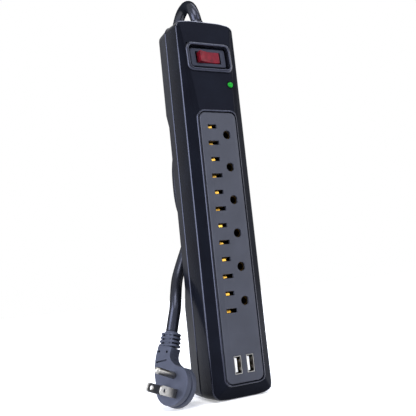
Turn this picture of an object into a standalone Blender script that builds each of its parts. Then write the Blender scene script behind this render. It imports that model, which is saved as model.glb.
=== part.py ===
"""Power strip: six outlets, two USB ports, a lit rocker switch, a status light and a flat angled plug.

The strip stands on its lower end, with its outlets facing -Y. X is its width and Z its length.
Inside the functions a "depth" is measured back from the face of the outlet panel.
"""

import math

import bmesh
import bpy
from mathutils import Matrix, Vector

MM = 0.001

# Fits
GAP = 0.3 * MM
WALL = 2.2 * MM

# Housing: a front shell with hipped bevels round the panel, and a rear cover with a foot at each end
WIDTH = 51.0 * MM
FRONT_WIDTH = 50.4 * MM
BACK_WIDTH = 49.4 * MM
LENGTH = 294.0 * MM
DEPTH = 43.5 * MM
FRONT_EDGE = 6.3 * MM
SEAM = 25.5 * MM
TOP_SETBACK = 2.4 * MM
BOTTOM_SETBACK = 0.2 * MM
TOP_BOW = 2.8 * MM
BOTTOM_BOW = 1.6 * MM
END_LAND = 10.0 * MM
CORNER = 6.0 * MM
CORNER_STEPS = 4
BACK_CHAMFER = 2.0 * MM
RECESS = 6.0 * MM
RECESS_LOW = 84.0 * MM
RECESS_HIGH = LENGTH - 81.0 * MM
LOW_SLOPE = 22.0 * MM
HIGH_SLOPE = 16.0 * MM

# Outlet panel, let into the front shell and seated on a ledge
PANEL_WIDTH = 30.8 * MM
PANEL_BOTTOM = 12.1 * MM
PANEL_TOP = LENGTH - 78.7 * MM
PANEL_THICK = 2.0 * MM
PANEL_CORNER = 4.5 * MM
PANEL_CHAMFER = 0.5 * MM
LEDGE = 2.2 * MM
LEDGE_THICK = 2.2 * MM

# Outlets: blade slots lie across the strip, and the round hole of each is beside them
OUTLET_PITCH = 25.4 * MM
USB_SHARE = 50.0 * MM
OUTLETS = int((PANEL_TOP - PANEL_BOTTOM - USB_SHARE) / OUTLET_PITCH)
BLADE_PITCH = 12.7 * MM
PIN_OFFSET = 11.9 * MM
FIRST_SLOT_Z = PANEL_TOP - 11.3 * MM
SLOT_HEIGHT = 2.7 * MM
HOT_SLOT = 7.0 * MM
NEUTRAL_SLOT = 8.6 * MM
PIN_HOLE_RADIUS = 3.05 * MM
PIN_HOLE_FLAT = 2.3 * MM

# Contacts and the tray that holds them
BAR_THICK = 0.8 * MM
BAR_WIDTH = 2.5 * MM
BAR_DEPTH = 18.6 * MM
JAW_THICK = 0.7 * MM
JAW_SPACE = 1.2 * MM
JAW_WIDTH = 6.4 * MM
TAB_HEIGHT = 5.4 * MM
PIN_TUBE_BORE = 2.95 * MM
PIN_TUBE_WALL = 0.7 * MM
HOT_BAR_X = -(PANEL_WIDTH / 2 - LEDGE - 0.8 * MM)
NEUTRAL_BAR_X = -0.7 * MM
GROUND_BAR_X = PANEL_WIDTH / 2 - LEDGE - 4.0 * MM
BAR_OVERRUN = 5.0 * MM
TRAY_FLOOR = 2.0 * MM
TRAY_WALL = 1.2 * MM
TRAY_END = 7.0 * MM

# USB ports, upright and side by side under the outlets
USB_WIDTH = 5.9 * MM
USB_HEIGHT = 12.8 * MM
USB_DEPTH = 13.0 * MM
USB_SHEET = 0.4 * MM
USB_SPACING = 10.4 * MM
USB_Z = 25.0 * MM
USB_TONGUE = 1.9 * MM
USB_TONGUE_DEPTH = 9.0 * MM
USB_BLOCK = 2.5 * MM
BOARD_THICK = 1.6 * MM
USB_BOARD_WIDTH = 22.0 * MM
USB_BOARD_LOW = 13.0 * MM
USB_BOARD_HIGH = 56.0 * MM
TRANSFORMER_X = -2.0 * MM
TRANSFORMER_WIDTH = 12.0 * MM
TRANSFORMER_DEPTH = 11.0 * MM
TRANSFORMER_HEIGHT = 13.0 * MM
TRANSFORMER_BEVEL = 0.8 * MM
CAPACITOR_X = -5.0 * MM
CAPACITOR_RADIUS = 4.0 * MM
CAPACITOR_HEIGHT = 12.0 * MM

# Rocker switch in a raised guard on the ramp above the panel
SWITCH_Z = LENGTH - 32.6 * MM
GUARD_WIDTH = 39.0 * MM
GUARD_HEIGHT = 24.8 * MM
GUARD_RISE = 1.6 * MM
GUARD_FLOOR = 2.0 * MM
GUARD_CORNER = 5.5 * MM
GUARD_ROUND = 0.8 * MM
POCKET_DEPTH = 3.4 * MM
POCKET_RIM = 2.1 * MM
POCKET_TAPER = 1.2 * MM
BEZEL_WIDTH = 31.0 * MM
BEZEL_HEIGHT = 15.8 * MM
BEZEL_THICK = 1.8 * MM
BEZEL_CORNER = 1.5 * MM
SWITCH_WIDTH = 26.8 * MM
SWITCH_HEIGHT = 13.6 * MM
SWITCH_DEPTH = 17.0 * MM
WELL_WIDTH = 21.8 * MM
WELL_DEPTH = 9.4 * MM
ROCKER_WIDTH = 17.6 * MM
ROCKER_HEIGHT = 8.9 * MM
ROCKER_CLEAR = 0.4 * MM
ROCKER_CROWN = 4.4 * MM
ROCKER_DIP = 1.3 * MM
ROCKER_SKIRT = 0.9 * MM
ROCKER_KEEL = 3.0 * MM
ROCKER_KEEL_WIDTH = 13.0 * MM
ROCKER_PIVOT = 3.5 * MM
ROCKER_TILT = math.radians(7.5)
TRUNNION_RADIUS = 1.5 * MM
TRUNNION_LENGTH = 1.1 * MM
TERMINAL_PITCH = 9.0 * MM
TERMINAL_WIDTH = 4.8 * MM
TERMINAL_THICK = 0.8 * MM
TERMINAL_LENGTH = 8.0 * MM

# Status light
LIGHT_X = 15.5 * MM
LIGHT_Z = SWITCH_Z - 22.5 * MM
LIGHT_RADIUS = 2.25 * MM
LIGHT_RISE = 1.3 * MM
LIGHT_COLLAR = 0.7 * MM
LIGHT_STEM = 1.5 * MM

# Surge board behind the ramp
SURGE_DEPTH = 14.0 * MM
SURGE_WIDTH = 36.0 * MM
SURGE_LOW = PANEL_TOP - 0.3 * MM
SURGE_HIGH = SWITCH_Z - 14.9 * MM
PEG_RADIUS = 1.8 * MM
PEG_X = 16.0 * MM
PEG_LOW = SURGE_LOW + 4.5 * MM
PEG_HIGH = SURGE_HIGH - 4.5 * MM
PEG_MIDDLE = SURGE_LOW + 15.0 * MM
PEGS = ((-PEG_X, PEG_LOW), (PEG_X, PEG_LOW), (-PEG_X, PEG_HIGH), (PEG_X, PEG_MIDDLE))
VARISTOR_RADIUS = 6.0 * MM
VARISTOR_THICK = 4.0 * MM
VARISTOR_X = (-5.5 * MM, 5.5 * MM, 14.5 * MM)
VARISTOR_Z = SURGE_LOW + 14.0 * MM
FUSE_RADIUS = 1.9 * MM
FUSE_X = -15.0 * MM
FUSE_LOW = SURGE_LOW + 7.0 * MM
FUSE_HIGH = FUSE_LOW + 16.0 * MM

# Screws through the rear cover into posts of the front shell
POST_X = 19.0 * MM
POST_Z = (RECESS_LOW + 12.0 * MM, RECESS_HIGH - 11.0 * MM)
POST_RADIUS = 3.2 * MM
SCREW_RADIUS = 1.2 * MM
SCREW_GRIP = 11.0 * MM
SCREW_HEAD_RADIUS = 2.8 * MM
SCREW_HEAD = 1.9 * MM

# Keyholes in the feet
KEYHOLE_Z = (29.0 * MM, LENGTH - 34.0 * MM)
KEYHOLE_RADIUS = 4.3 * MM
KEYHOLE_SLOT = 2.2 * MM
KEYHOLE_RISE = 9.0 * MM

# Mains cord
CORD = 9.0 * MM
CORD_DEPTH = 18.5 * MM
BUSHING_RADIUS = 5.6 * MM
BUSHING_TIP = 4.9 * MM
BUSHING_FLANGE = 7.6 * MM
BUSHING_LOW = LENGTH - 16.0 * MM
BUSHING_HIGH = LENGTH + 3.0 * MM
WIRE = 2.6 * MM
ROUTE_STEP = 1.5 * CORD

# Tied hank of the rest of the cord, standing close behind the strip
HANK_X = 18.0 * MM
HANK_DEPTH = 68.5 * MM
HANK_FOLD = 26.0 * MM
HANK_RUN = 130.0 * MM
HANK_LAYER = 9.6 * MM
HANK_WAIST = 4.4 * MM
HANK_LOOPS = 2
HANK_LOW = 0.5 * MM
TIE_HEIGHT = 5.0 * MM
TIE_THICK = 1.2 * MM

# Plug: a flat disc with the cord leaving one edge, leaning against nothing but its own rim on the floor
PLUG_AT = Vector((-54.2, 11.6, 18.0)) * MM
PLUG_TURN = math.radians(-62.7)
PLUG_LEAN = math.radians(-21.4)
PLUG_ROLL = math.radians(-14.4)
PINS_ROLL = math.radians(22.4)
PLUG_RADIUS = 15.0 * MM
PLUG_THICK = 10.5 * MM
PLUG_GROOVE = 0.7 * MM
PLUG_NECK_THICK = 9.5 * MM
RELIEF_AT = Vector((-4.2, 5.25, 29.5)) * MM
RELIEF_LEAN = math.radians(19.5)
RELIEF_LENGTH = 12.0 * MM
RELIEF_WIDTH = 16.4 * MM
RELIEF_CORE = 10.8 * MM
RELIEF_RIBS = 4
RELIEF_RIB = 1.7 * MM
BLADE_WIDTH = 6.3 * MM
BLADE_THICK = 1.5 * MM
BLADE_LENGTH = 17.0 * MM
BLADE_HOLE = 1.6 * MM
BLADE_HOLE_BACK = 4.2 * MM
PIN_RADIUS = 2.4 * MM
PIN_LENGTH = 20.0 * MM
PIN_UP = 6.4 * MM

FRONT = -DEPTH / 2
RIM_STEPS = 32

DRAWN_LENGTH = 294.0 * MM
LIFT_FROM = 180.0 * MM
LIFT_TO = 205.0 * MM

# Neck of the plug as (x, z) points on its face in millimetres: it leaves one side of the disc
NECK_SHAPE = (
    (2.0, 27.2), (0.5, 23.6), (0.0, 20.6), (1.4, 16.6), (4.8, 12.9), (9.4, 10.6), (8.0, 0.0), (-8.0, 0.0),
    (-14.3, 2.0), (-14.9, 10.0), (-14.4, 18.5), (-13.0, 25.0), (-10.3, 31.6),
)

# Route points as (x, depth, z) in millimetres. A route's first and last stretches stay straight
LEAD_ROUTE = (
    (0.0, 18.5, 297.3), (0.0, 18.5, 299.0), (0.3, 20.2, 307.6), (1.0, 25.1, 314.9), (2.0, 32.4, 319.8),
    (3.3, 41.0, 321.5), (5.1, 53.2, 319.2), (6.6, 63.6, 312.6), (7.6, 70.6, 302.7), (8.0, 73.2, 290.0),
    (7.4, 74.0, 274.0), (5.6, 73.6, 254.0), (2.2, 72.2, 232.0), (-2.6, 70.2, 209.0), (-6.6, 68.8, 191.0),
    (-8.0, 68.5, 179.3), (-8.0, 68.5, 170.3),
)
TAIL_ROUTE = (
    (-8.0, 49.3, 151.7), (-8.0, 49.3, 142.7), (-9.9, 49.8, 131.0), (-14.0, 50.2, 117.5), (-19.8, 50.0, 105.0),
    (-26.2, 46.6, 92.0), (-31.6, 40.8, 79.5), (-35.2, 34.9, 69.2),
)
LINE_WIRE = (
    (-2.6, 18.5, 277.6), (-2.6, 18.5, 274.8), (-6.0, 23.0, 271.5), (-9.0, 30.5, 268.5), (-9.0, 35.2, 263.5),
)
SWITCHED_WIRE = (
    (-1.5, 34.0, 254.0), (-6.0, 29.5, 247.0), (-10.5, 22.5, 241.0), (-11.15, 19.2, 234.0), (-11.15, 19.0, 212.4),
    (-11.15, 19.0, 209.7),
)
NEUTRAL_WIRE = (
    (2.6, 18.5, 277.6), (2.6, 18.5, 274.8), (10.0, 19.0, 272.0), (16.8, 19.3, 268.0), (17.0, 19.5, 259.0),
    (15.0, 19.4, 250.5), (7.0, 19.2, 246.0), (1.4, 19.1, 240.0), (0.55, 19.0, 230.0), (0.55, 19.0, 212.4),
    (0.55, 19.0, 209.7),
)
GROUND_WIRE = (
    (0.0, 21.4, 277.6), (0.0, 21.4, 274.8), (8.0, 25.5, 272.5), (17.5, 24.5, 270.0), (20.4, 23.5, 262.0),
    (19.4, 22.5, 252.5), (13.0, 20.0, 244.5), (10.6, 19.1, 238.0), (10.45, 19.0, 228.0), (10.45, 19.0, 212.4),
    (10.45, 19.0, 209.7),
)


def at(x, depth, z):
    """A point of the strip from its depth behind the panel's face."""
    return Vector((x, FRONT + depth, z))


def clear_scene():
    for thing in list(bpy.data.objects):
        bpy.data.objects.remove(thing)


def collection(name):
    made = bpy.data.collections.new(name)
    bpy.context.scene.collection.children.link(made)
    return made


def finish(name, colour, roughness, metallic=0.0):
    material = bpy.data.materials.new(name)
    material.use_nodes = True
    shader = material.node_tree.nodes["Principled BSDF"]
    shader.inputs["Base Color"].default_value = (*colour, 1.0)
    shader.inputs["Roughness"].default_value = roughness
    shader.inputs["Metallic"].default_value = metallic
    return material


clear_scene()
PARTS = collection("power_strip")
CUTTERS = collection("cutters")
GLOSS_BLACK = finish("gloss_black_abs", (0.012, 0.014, 0.019), 0.22)
MATTE_GREY = finish("matte_grey_abs", (0.09, 0.095, 0.12), 0.55)
BLACK_NYLON = finish("black_nylon", (0.015, 0.015, 0.017), 0.45)
RED_LENS = finish("red_polycarbonate", (0.42, 0.02, 0.03), 0.2)
GREEN_LENS = finish("green_polycarbonate", (0.05, 0.75, 0.08), 0.25)
BRASS = finish("brass", (0.75, 0.52, 0.18), 0.3, 1.0)
STEEL = finish("nickel_steel", (0.65, 0.65, 0.66), 0.28, 1.0)
WHITE_NYLON = finish("white_nylon", (0.8, 0.8, 0.78), 0.5)
LAMINATE = finish("green_laminate", (0.03, 0.16, 0.07), 0.5)
BLUE_EPOXY = finish("blue_epoxy", (0.05, 0.12, 0.4), 0.45)
BLACK_VINYL = finish("black_vinyl", (0.02, 0.021, 0.024), 0.5)
WHITE_VINYL = finish("white_vinyl", (0.75, 0.75, 0.73), 0.5)
GREEN_VINYL = finish("green_vinyl", (0.04, 0.3, 0.08), 0.5)


def drop(x, half, bow):
    """How far a bowed end falls back at x from its flat middle."""
    return bow * max(0.0, (abs(x) - END_LAND) / (half - END_LAND)) ** 2


def outline(half, low, high, radius, bow_low=0.0, bow_high=0.0):
    """Points (x, z) round a rectangle with round corners and bowed ends, anticlockwise from the front."""
    corner_x = half - radius
    points = []
    for side, end, bow, start in ((1, 1, bow_high, 0), (-1, 1, bow_high, 90), (-1, -1, bow_low, 180), (1, -1, bow_low, 270)):
        edge = high if end > 0 else low
        centre_z = edge - end * (drop(corner_x, half, bow) + radius)
        for step in range(CORNER_STEPS + 1):
            angle = math.radians(start + 90 * step / CORNER_STEPS)
            points.append((side * corner_x + radius * math.cos(angle), centre_z + radius * math.sin(angle)))
        if side == end:
            land = min(END_LAND, corner_x - GAP)
            points.append((side * land, edge))
            points.append((-side * land, edge))
    return points


def ring(points, depth):
    """The outline's points at one depth, or at the depth that a function gives for each."""
    if callable(depth):
        return [at(x, depth(x, z), z) for x, z in points]
    return [at(x, depth, z) for x, z in points]


def add_loft(bm, rings, closed=False):
    """Skins a row of rings. Closed joins the last ring to the first, and otherwise both ends are capped."""
    loops = [[bm.verts.new(point) for point in points] for points in rings]
    following = loops[1:] + loops[:1] if closed else loops[1:]
    for one, other in zip(loops, following):
        for i in range(len(one)):
            j = (i + 1) % len(one)
            bm.faces.new((one[i], one[j], other[j], other[i]))
    if not closed:
        bm.faces.new(loops[0])
        bm.faces.new(loops[-1])


def add_box(bm, low, high):
    low, high = Vector(low), Vector(high)
    size = Matrix.Diagonal((*(high - low), 1.0))
    bmesh.ops.create_cube(bm, size=1.0, matrix=Matrix.Translation((low + high) / 2) @ size)


def add_rod(bm, start, end, radius, segments=16):
    start, end = Vector(start), Vector(end)
    turn = Vector((0, 0, 1)).rotation_difference(end - start).to_matrix().to_4x4()
    place = Matrix.Translation((start + end) / 2) @ turn
    bmesh.ops.create_cone(
        bm, cap_ends=True, segments=segments, radius1=radius, radius2=radius, depth=(end - start).length, matrix=place
    )


def add_prism(bm, points, low, high):
    """A flat outline of (x, z) points made solid between two values of y."""
    add_loft(bm, [[Vector((x, low, z)) for x, z in points], [Vector((x, high, z)) for x, z in points]])


def add_turned(bm, profile, segments=16):
    """A profile of (radius, z) points, from axis to axis, spun about Z."""
    verts = [bm.verts.new((radius, 0, z)) for radius, z in profile]
    edges = [bm.edges.new(pair) for pair in zip(verts, verts[1:])]
    bmesh.ops.spin(
        bm, geom=verts + edges, axis=(0, 0, 1), cent=(0, 0, 0), angle=math.tau, steps=segments, use_duplicate=False
    )
    bmesh.ops.remove_doubles(bm, verts=bm.verts, dist=0.00001)


def shape(name, bm, group, place=None):
    """Makes the bmesh an object of the group, placed by a matrix."""
    bmesh.ops.recalc_face_normals(bm, faces=bm.faces)
    mesh = bpy.data.meshes.new(name)
    bm.to_mesh(mesh)
    bm.free()
    made = bpy.data.objects.new(name, mesh)
    group.objects.link(made)
    if place is not None:
        made.matrix_world = place
    return made


def part(name, bm, material, place=None):
    made = shape(name, bm, PARTS, place)
    made.data.materials.append(material)
    made.data.shade_smooth()
    made.data.set_sharp_from_angle(angle=math.radians(35))
    return made


def cutter(name, bm, place=None):
    made = shape(name, bm, CUTTERS, place)
    made.display_type = "WIRE"
    made.hide_render = True
    return made


def combine(target, tool, operation):
    """Joins a tool to a part, or cuts it away."""
    modifier = target.modifiers.new(tool.name, "BOOLEAN")
    modifier.operation = operation
    modifier.solver = "EXACT"
    modifier.object = tool


def tube(name, points, diameter, material, resolution=2):
    curve = bpy.data.curves.new(name, "CURVE")
    curve.dimensions = "3D"
    curve.bevel_depth = diameter / 2
    curve.bevel_resolution = resolution
    curve.use_fill_caps = True
    spline = curve.splines.new("POLY")
    spline.points.add(len(points) - 1)
    for knot, point in zip(spline.points, points):
        knot.co = (*point, 1.0)
    made = bpy.data.objects.new(name, curve)
    made.data.materials.append(material)
    PARTS.objects.link(made)
    return made


def knots_of(route):
    """Route points in metres. They were drawn on a strip of DRAWN_LENGTH, and their tops move with its end."""
    lift = LENGTH - DRAWN_LENGTH
    knots = []
    for x, depth, z in route:
        share = min(1.0, max(0.0, (z * MM - LIFT_FROM) / (LIFT_TO - LIFT_FROM)))
        knots.append(at(x * MM, depth * MM, z * MM + lift * share))
    return knots


def smooth_route(knots, step):
    """Evenly spaced points on a smooth curve through the knots, with the first and last stretches straight."""
    fine = []
    for a, b, c, d in zip(knots, knots[1:], knots[2:], knots[3:]):
        for i in range(16):
            t = i / 16
            fine.append(
                0.5 * (2 * b + (c - a) * t + (2 * a - 5 * b + 4 * c - d) * t**2 + (3 * b - a - 3 * c + d) * t**3)
            )
    fine.append(knots[-2])
    along = [0.0]
    for one, other in zip(fine, fine[1:]):
        along.append(along[-1] + (other - one).length)
    count = max(2, round(along[-1] / step))
    points, i = [knots[0]], 0
    for k in range(count + 1):
        target = along[-1] * k / count
        while i < len(fine) - 2 and along[i + 1] < target:
            i += 1
        share = (target - along[i]) / (along[i + 1] - along[i])
        points.append(fine[i].lerp(fine[i + 1], min(1.0, share)))
    return [*points, knots[-1]]


def path_length(points):
    return sum((other - one).length for one, other in zip(points, points[1:]))


# Front shell

EDGE_TOP = LENGTH - TOP_SETBACK
RAMP_RISE = FRONT_EDGE / (EDGE_TOP - TOP_BOW - PANEL_TOP)
RAMP_ANGLE = math.atan(RAMP_RISE)
PANEL_SEAT = PANEL_THICK + GAP


def roof(x, z):
    """Depth of the hipped front: the deepest of the side bevels, the long top ramp and the bottom bevel."""
    side = (abs(x) - PANEL_WIDTH / 2) * FRONT_EDGE / ((FRONT_WIDTH - PANEL_WIDTH) / 2)
    top = (z - PANEL_TOP) * RAMP_RISE
    bottom = (PANEL_BOTTOM - z) * FRONT_EDGE / (PANEL_BOTTOM - BOTTOM_SETBACK - BOTTOM_BOW)
    return max(0.0, side, top, bottom)


def ramp_place(x, z):
    """A frame on the ramp with -Y along the outward normal and Z up the ramp."""
    return Matrix.Translation(at(x, (z - PANEL_TOP) * RAMP_RISE, z)) @ Matrix.Rotation(-RAMP_ANGLE, 4, "X")


SWITCH_PLACE = ramp_place(0.0, SWITCH_Z)
LIGHT_PLACE = ramp_place(LIGHT_X, LIGHT_Z)


def seam_outline(inset):
    return outline(WIDTH / 2 - inset, inset, LENGTH - inset, CORNER - inset, BOTTOM_BOW, TOP_BOW)


def edge_outline(inset):
    low = BOTTOM_SETBACK + inset
    return outline(FRONT_WIDTH / 2 - inset, low, EDGE_TOP - inset, CORNER - inset, BOTTOM_BOW, TOP_BOW)


def panel_outline(grow):
    return outline(PANEL_WIDTH / 2 + grow, PANEL_BOTTOM - grow, PANEL_TOP + grow, PANEL_CORNER + grow)


def rectangle(width, height, radius):
    """A rounded rectangle about the origin."""
    return outline(width / 2, -height / 2, height / 2, radius)


def plate_rings(sections):
    """Rings for add_loft from (outline, y) pairs."""
    return [[Vector((x, y, z)) for x, z in points] for points, y in sections]


def make_front_housing():
    bm = bmesh.new()
    inner = WALL
    add_loft(
        bm,
        [
            ring(seam_outline(0.0), SEAM),
            ring(edge_outline(0.0), roof),
            ring(panel_outline(GAP), roof),
            ring(panel_outline(GAP), PANEL_SEAT),
            ring(panel_outline(-LEDGE), PANEL_SEAT),
            ring(panel_outline(-LEDGE), PANEL_SEAT + LEDGE_THICK),
            ring(edge_outline(inner), lambda x, z: roof(x, z) + WALL * 1.1),
            ring(seam_outline(inner), SEAM),
        ],
        closed=True,
    )
    housing = part("front_housing", bm, GLOSS_BLACK)

    bm = bmesh.new()
    back = POCKET_DEPTH + GUARD_FLOOR
    add_loft(
        bm,
        plate_rings(
            [
                (rectangle(GUARD_WIDTH, GUARD_HEIGHT, GUARD_CORNER), back),
                (rectangle(GUARD_WIDTH, GUARD_HEIGHT, GUARD_CORNER), GUARD_ROUND - GUARD_RISE),
                (
                    rectangle(GUARD_WIDTH - 2 * GUARD_ROUND, GUARD_HEIGHT - 2 * GUARD_ROUND, GUARD_CORNER - GUARD_ROUND),
                    -GUARD_RISE,
                ),
            ]
        ),
    )
    combine(housing, cutter("switch_guard", bm, SWITCH_PLACE), "UNION")

    bm = bmesh.new()
    for side in (-1, 1):
        for z in POST_Z:
            x = side * POST_X
            start = roof(POST_X + POST_RADIUS, z) + GAP
            add_rod(bm, at(x, start, z), at(x, DEPTH - RECESS - WALL - GAP, z), POST_RADIUS)
    for x, z in PEGS:
        start = roof(abs(x) + PEG_RADIUS, z + PEG_RADIUS) + GAP
        add_rod(bm, at(x, start, z), at(x, SURGE_DEPTH - GAP, z), PEG_RADIUS, 10)
    combine(housing, cutter("posts", bm), "UNION")

    bm = bmesh.new()
    mouth = (GUARD_WIDTH - 2 * POCKET_RIM, GUARD_HEIGHT - 2 * POCKET_RIM, GUARD_CORNER - POCKET_RIM)
    floor = tuple(size - 2 * POCKET_TAPER for size in mouth[:2])
    add_loft(
        bm,
        plate_rings(
            [
                (rectangle(*mouth), -GUARD_RISE - GAP),
                (rectangle(*mouth), 0.0),
                (rectangle(*floor, mouth[2] - POCKET_TAPER), POCKET_DEPTH),
            ]
        ),
    )
    combine(housing, cutter("switch_pocket", bm, SWITCH_PLACE), "DIFFERENCE")

    bm = bmesh.new()
    half_x, half_z = SWITCH_WIDTH / 2 + GAP, SWITCH_HEIGHT / 2 + GAP
    add_box(bm, (-half_x, POCKET_DEPTH - GAP, -half_z), (half_x, back + GAP, half_z))
    combine(housing, cutter("switch_cutout", bm, SWITCH_PLACE), "DIFFERENCE")

    bm = bmesh.new()
    add_rod(bm, (0, -WALL, 0), (0, 3 * WALL, 0), LIGHT_RADIUS + GAP)
    combine(housing, cutter("light_hole", bm, LIGHT_PLACE), "DIFFERENCE")

    bm = bmesh.new()
    add_rod(bm, at(0, CORD_DEPTH, BUSHING_LOW), at(0, CORD_DEPTH, LENGTH + WALL), BUSHING_RADIUS + GAP)
    for side in (-1, 1):
        for z in POST_Z:
            end = DEPTH - RECESS - WALL
            add_rod(bm, at(side * POST_X, end - SCREW_GRIP, z), at(side * POST_X, end, z), SCREW_RADIUS + GAP, 10)
    combine(housing, cutter("front_holes", bm), "DIFFERENCE")


# Rear cover

def recess_points(inset):
    """The step in the back, in depth and z, moved in by a wall."""
    depth = DEPTH - RECESS - inset
    low, high = RECESS_LOW - inset / 2, RECESS_HIGH + inset / 2
    return [
        (depth, low),
        (depth, high),
        (depth + 2 * RECESS, high + 2 * HIGH_SLOPE),
        (depth + 2 * RECESS, low - 2 * LOW_SLOPE),
    ]


def add_recess(bm, inset):
    rings = [[at(x, depth, z) for depth, z in recess_points(inset)] for x in (-WIDTH, WIDTH)]
    add_loft(bm, rings)


def back_outline(inset):
    half = BACK_WIDTH / 2 - inset
    return outline(half, inset, LENGTH - inset, max(CORNER - inset, WALL), BOTTOM_BOW, TOP_BOW)


def keyhole_points(z):
    """A round hole with a narrower slot above it."""
    meet = math.degrees(math.asin(KEYHOLE_SLOT / KEYHOLE_RADIUS))
    points = []
    for step in range(13):
        angle = math.radians(90 + meet + (360 - 2 * meet) * step / 12)
        points.append((KEYHOLE_RADIUS * math.cos(angle), z + KEYHOLE_RADIUS * math.sin(angle)))
    for step in range(5):
        angle = math.radians(180 * step / 4)
        points.append((KEYHOLE_SLOT * math.cos(angle), z + KEYHOLE_RISE + KEYHOLE_SLOT * math.sin(angle)))
    return points


def make_rear_cover():
    bm = bmesh.new()
    add_loft(
        bm,
        [
            ring(seam_outline(0.0), SEAM + GAP),
            ring(back_outline(0.0), DEPTH - BACK_CHAMFER),
            ring(back_outline(BACK_CHAMFER), DEPTH),
        ],
    )
    cover = part("rear_cover", bm, GLOSS_BLACK)

    bm = bmesh.new()
    add_recess(bm, 0.0)
    combine(cover, cutter("back_recess", bm), "DIFFERENCE")

    bm = bmesh.new()
    add_recess(bm, WALL)
    recess_inside = cutter("back_recess_inside", bm)
    bm = bmesh.new()
    add_loft(bm, [ring(seam_outline(WALL), SEAM - WALL), ring(back_outline(WALL), DEPTH - WALL)])
    hollow = cutter("rear_hollow", bm)
    combine(hollow, recess_inside, "DIFFERENCE")
    combine(cover, hollow, "DIFFERENCE")

    bm = bmesh.new()
    for z in KEYHOLE_Z:
        add_prism(bm, keyhole_points(z), FRONT + DEPTH - 2 * WALL, FRONT + DEPTH + WALL)
    for side in (-1, 1):
        for z in POST_Z:
            back = DEPTH - RECESS
            add_rod(bm, at(side * POST_X, back - 2 * WALL, z), at(side * POST_X, back + WALL, z), SCREW_RADIUS + GAP, 10)
    combine(cover, cutter("rear_holes", bm), "DIFFERENCE")


def make_screws():
    """Pan-head screws, one to each post."""
    number = 1
    for z in POST_Z:
        for side in (-1, 1):
            bm = bmesh.new()
            seat = GAP
            add_turned(
                bm,
                [
                    (0.0, seat + SCREW_HEAD),
                    (SCREW_HEAD_RADIUS * 0.7, seat + SCREW_HEAD),
                    (SCREW_HEAD_RADIUS, seat + SCREW_HEAD * 0.6),
                    (SCREW_HEAD_RADIUS, seat),
                    (SCREW_RADIUS, seat),
                    (SCREW_RADIUS, -WALL - SCREW_GRIP + SCREW_RADIUS + GAP),
                    (0.0, -WALL - SCREW_GRIP + 2 * GAP),
                ],
                12,
            )
            back = Matrix.Translation(at(side * POST_X, DEPTH - RECESS, z))
            part(f"housing_screw_{number}", bm, STEEL, back @ Matrix.Rotation(math.radians(-90), 4, "X"))
            number += 1


# Outlet panel and contacts

SLOT_X = -PIN_OFFSET / 2
PIN_X = PIN_OFFSET / 2


def hot_rows():
    return [FIRST_SLOT_Z - i * OUTLET_PITCH for i in range(OUTLETS)]


def neutral_rows():
    return [z - BLADE_PITCH for z in hot_rows()]


def pin_rows():
    return [z - BLADE_PITCH / 2 for z in hot_rows()]


def pin_hole_points(z):
    """A round hole with a flat on its right side."""
    meet = math.degrees(math.acos(PIN_HOLE_FLAT / PIN_HOLE_RADIUS))
    points = []
    for step in range(13):
        angle = math.radians(meet + (360 - 2 * meet) * step / 12)
        points.append((PIN_X + PIN_HOLE_RADIUS * math.cos(angle), z + PIN_HOLE_RADIUS * math.sin(angle)))
    return points


def usb_columns():
    return (("left", -USB_SPACING / 2), ("right", USB_SPACING / 2))


def make_outlet_panel():
    bm = bmesh.new()
    add_loft(
        bm,
        [
            ring(panel_outline(0.0), PANEL_THICK),
            ring(panel_outline(0.0), PANEL_CHAMFER),
            ring(panel_outline(-PANEL_CHAMFER), 0.0),
        ],
    )
    panel = part("outlet_panel", bm, MATTE_GREY)
    bm = bmesh.new()
    low, high = -PANEL_THICK, 2 * PANEL_THICK
    for rows, width in ((hot_rows(), HOT_SLOT), (neutral_rows(), NEUTRAL_SLOT)):
        for z in rows:
            corner = (SLOT_X - width / 2, FRONT + low, z - SLOT_HEIGHT / 2)
            add_box(bm, corner, (SLOT_X + width / 2, FRONT + high, z + SLOT_HEIGHT / 2))
    for z in pin_rows():
        add_prism(bm, pin_hole_points(z), FRONT + low, FRONT + high)
    for _, x in usb_columns():
        half_x, half_z = USB_WIDTH / 2 + GAP, USB_HEIGHT / 2 + GAP
        add_box(bm, (x - half_x, FRONT + low, USB_Z - half_z), (x + half_x, FRONT + high, USB_Z + half_z))
    combine(panel, cutter("panel_holes", bm), "DIFFERENCE")


BAR_TOP = FIRST_SLOT_Z + BAR_OVERRUN
BAR_BOTTOM = FIRST_SLOT_Z - (OUTLETS - 1) * OUTLET_PITCH - BLADE_PITCH - BAR_OVERRUN
JAW_START = PANEL_THICK + GAP


def make_bar(name, strip_x, rows, tab_to, jaws):
    """A stamped strip along the outlets with a tab to each row, and jaws or a tube standing on each tab."""
    bm = bmesh.new()
    add_box(bm, at(strip_x, BAR_DEPTH, BAR_BOTTOM), at(strip_x + BAR_WIDTH, BAR_DEPTH + BAR_THICK, BAR_TOP))
    bar = part(name, bm, BRASS)
    bm = bmesh.new()
    inside = strip_x + BAR_WIDTH / 2
    for z in rows:
        low = at(min(inside, tab_to), BAR_DEPTH, z - TAB_HEIGHT / 2)
        add_box(bm, low, at(max(inside, tab_to), BAR_DEPTH + BAR_THICK, z + TAB_HEIGHT / 2))
    combine(bar, cutter(name + "_tabs", bm), "UNION")
    bm = bmesh.new()
    jaws(bm, rows)
    combine(bar, cutter(name + "_jaws", bm), "UNION")
    return bar


def add_blade_jaws(bm, rows):
    for z in rows:
        for side in (-1, 1):
            edge = z + side * JAW_SPACE
            low, high = min(edge, edge + side * JAW_THICK), max(edge, edge + side * JAW_THICK)
            foot = BAR_DEPTH + BAR_THICK / 2
            add_box(bm, at(SLOT_X - JAW_WIDTH / 2, JAW_START, low), at(SLOT_X + JAW_WIDTH / 2, foot, high))


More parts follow.
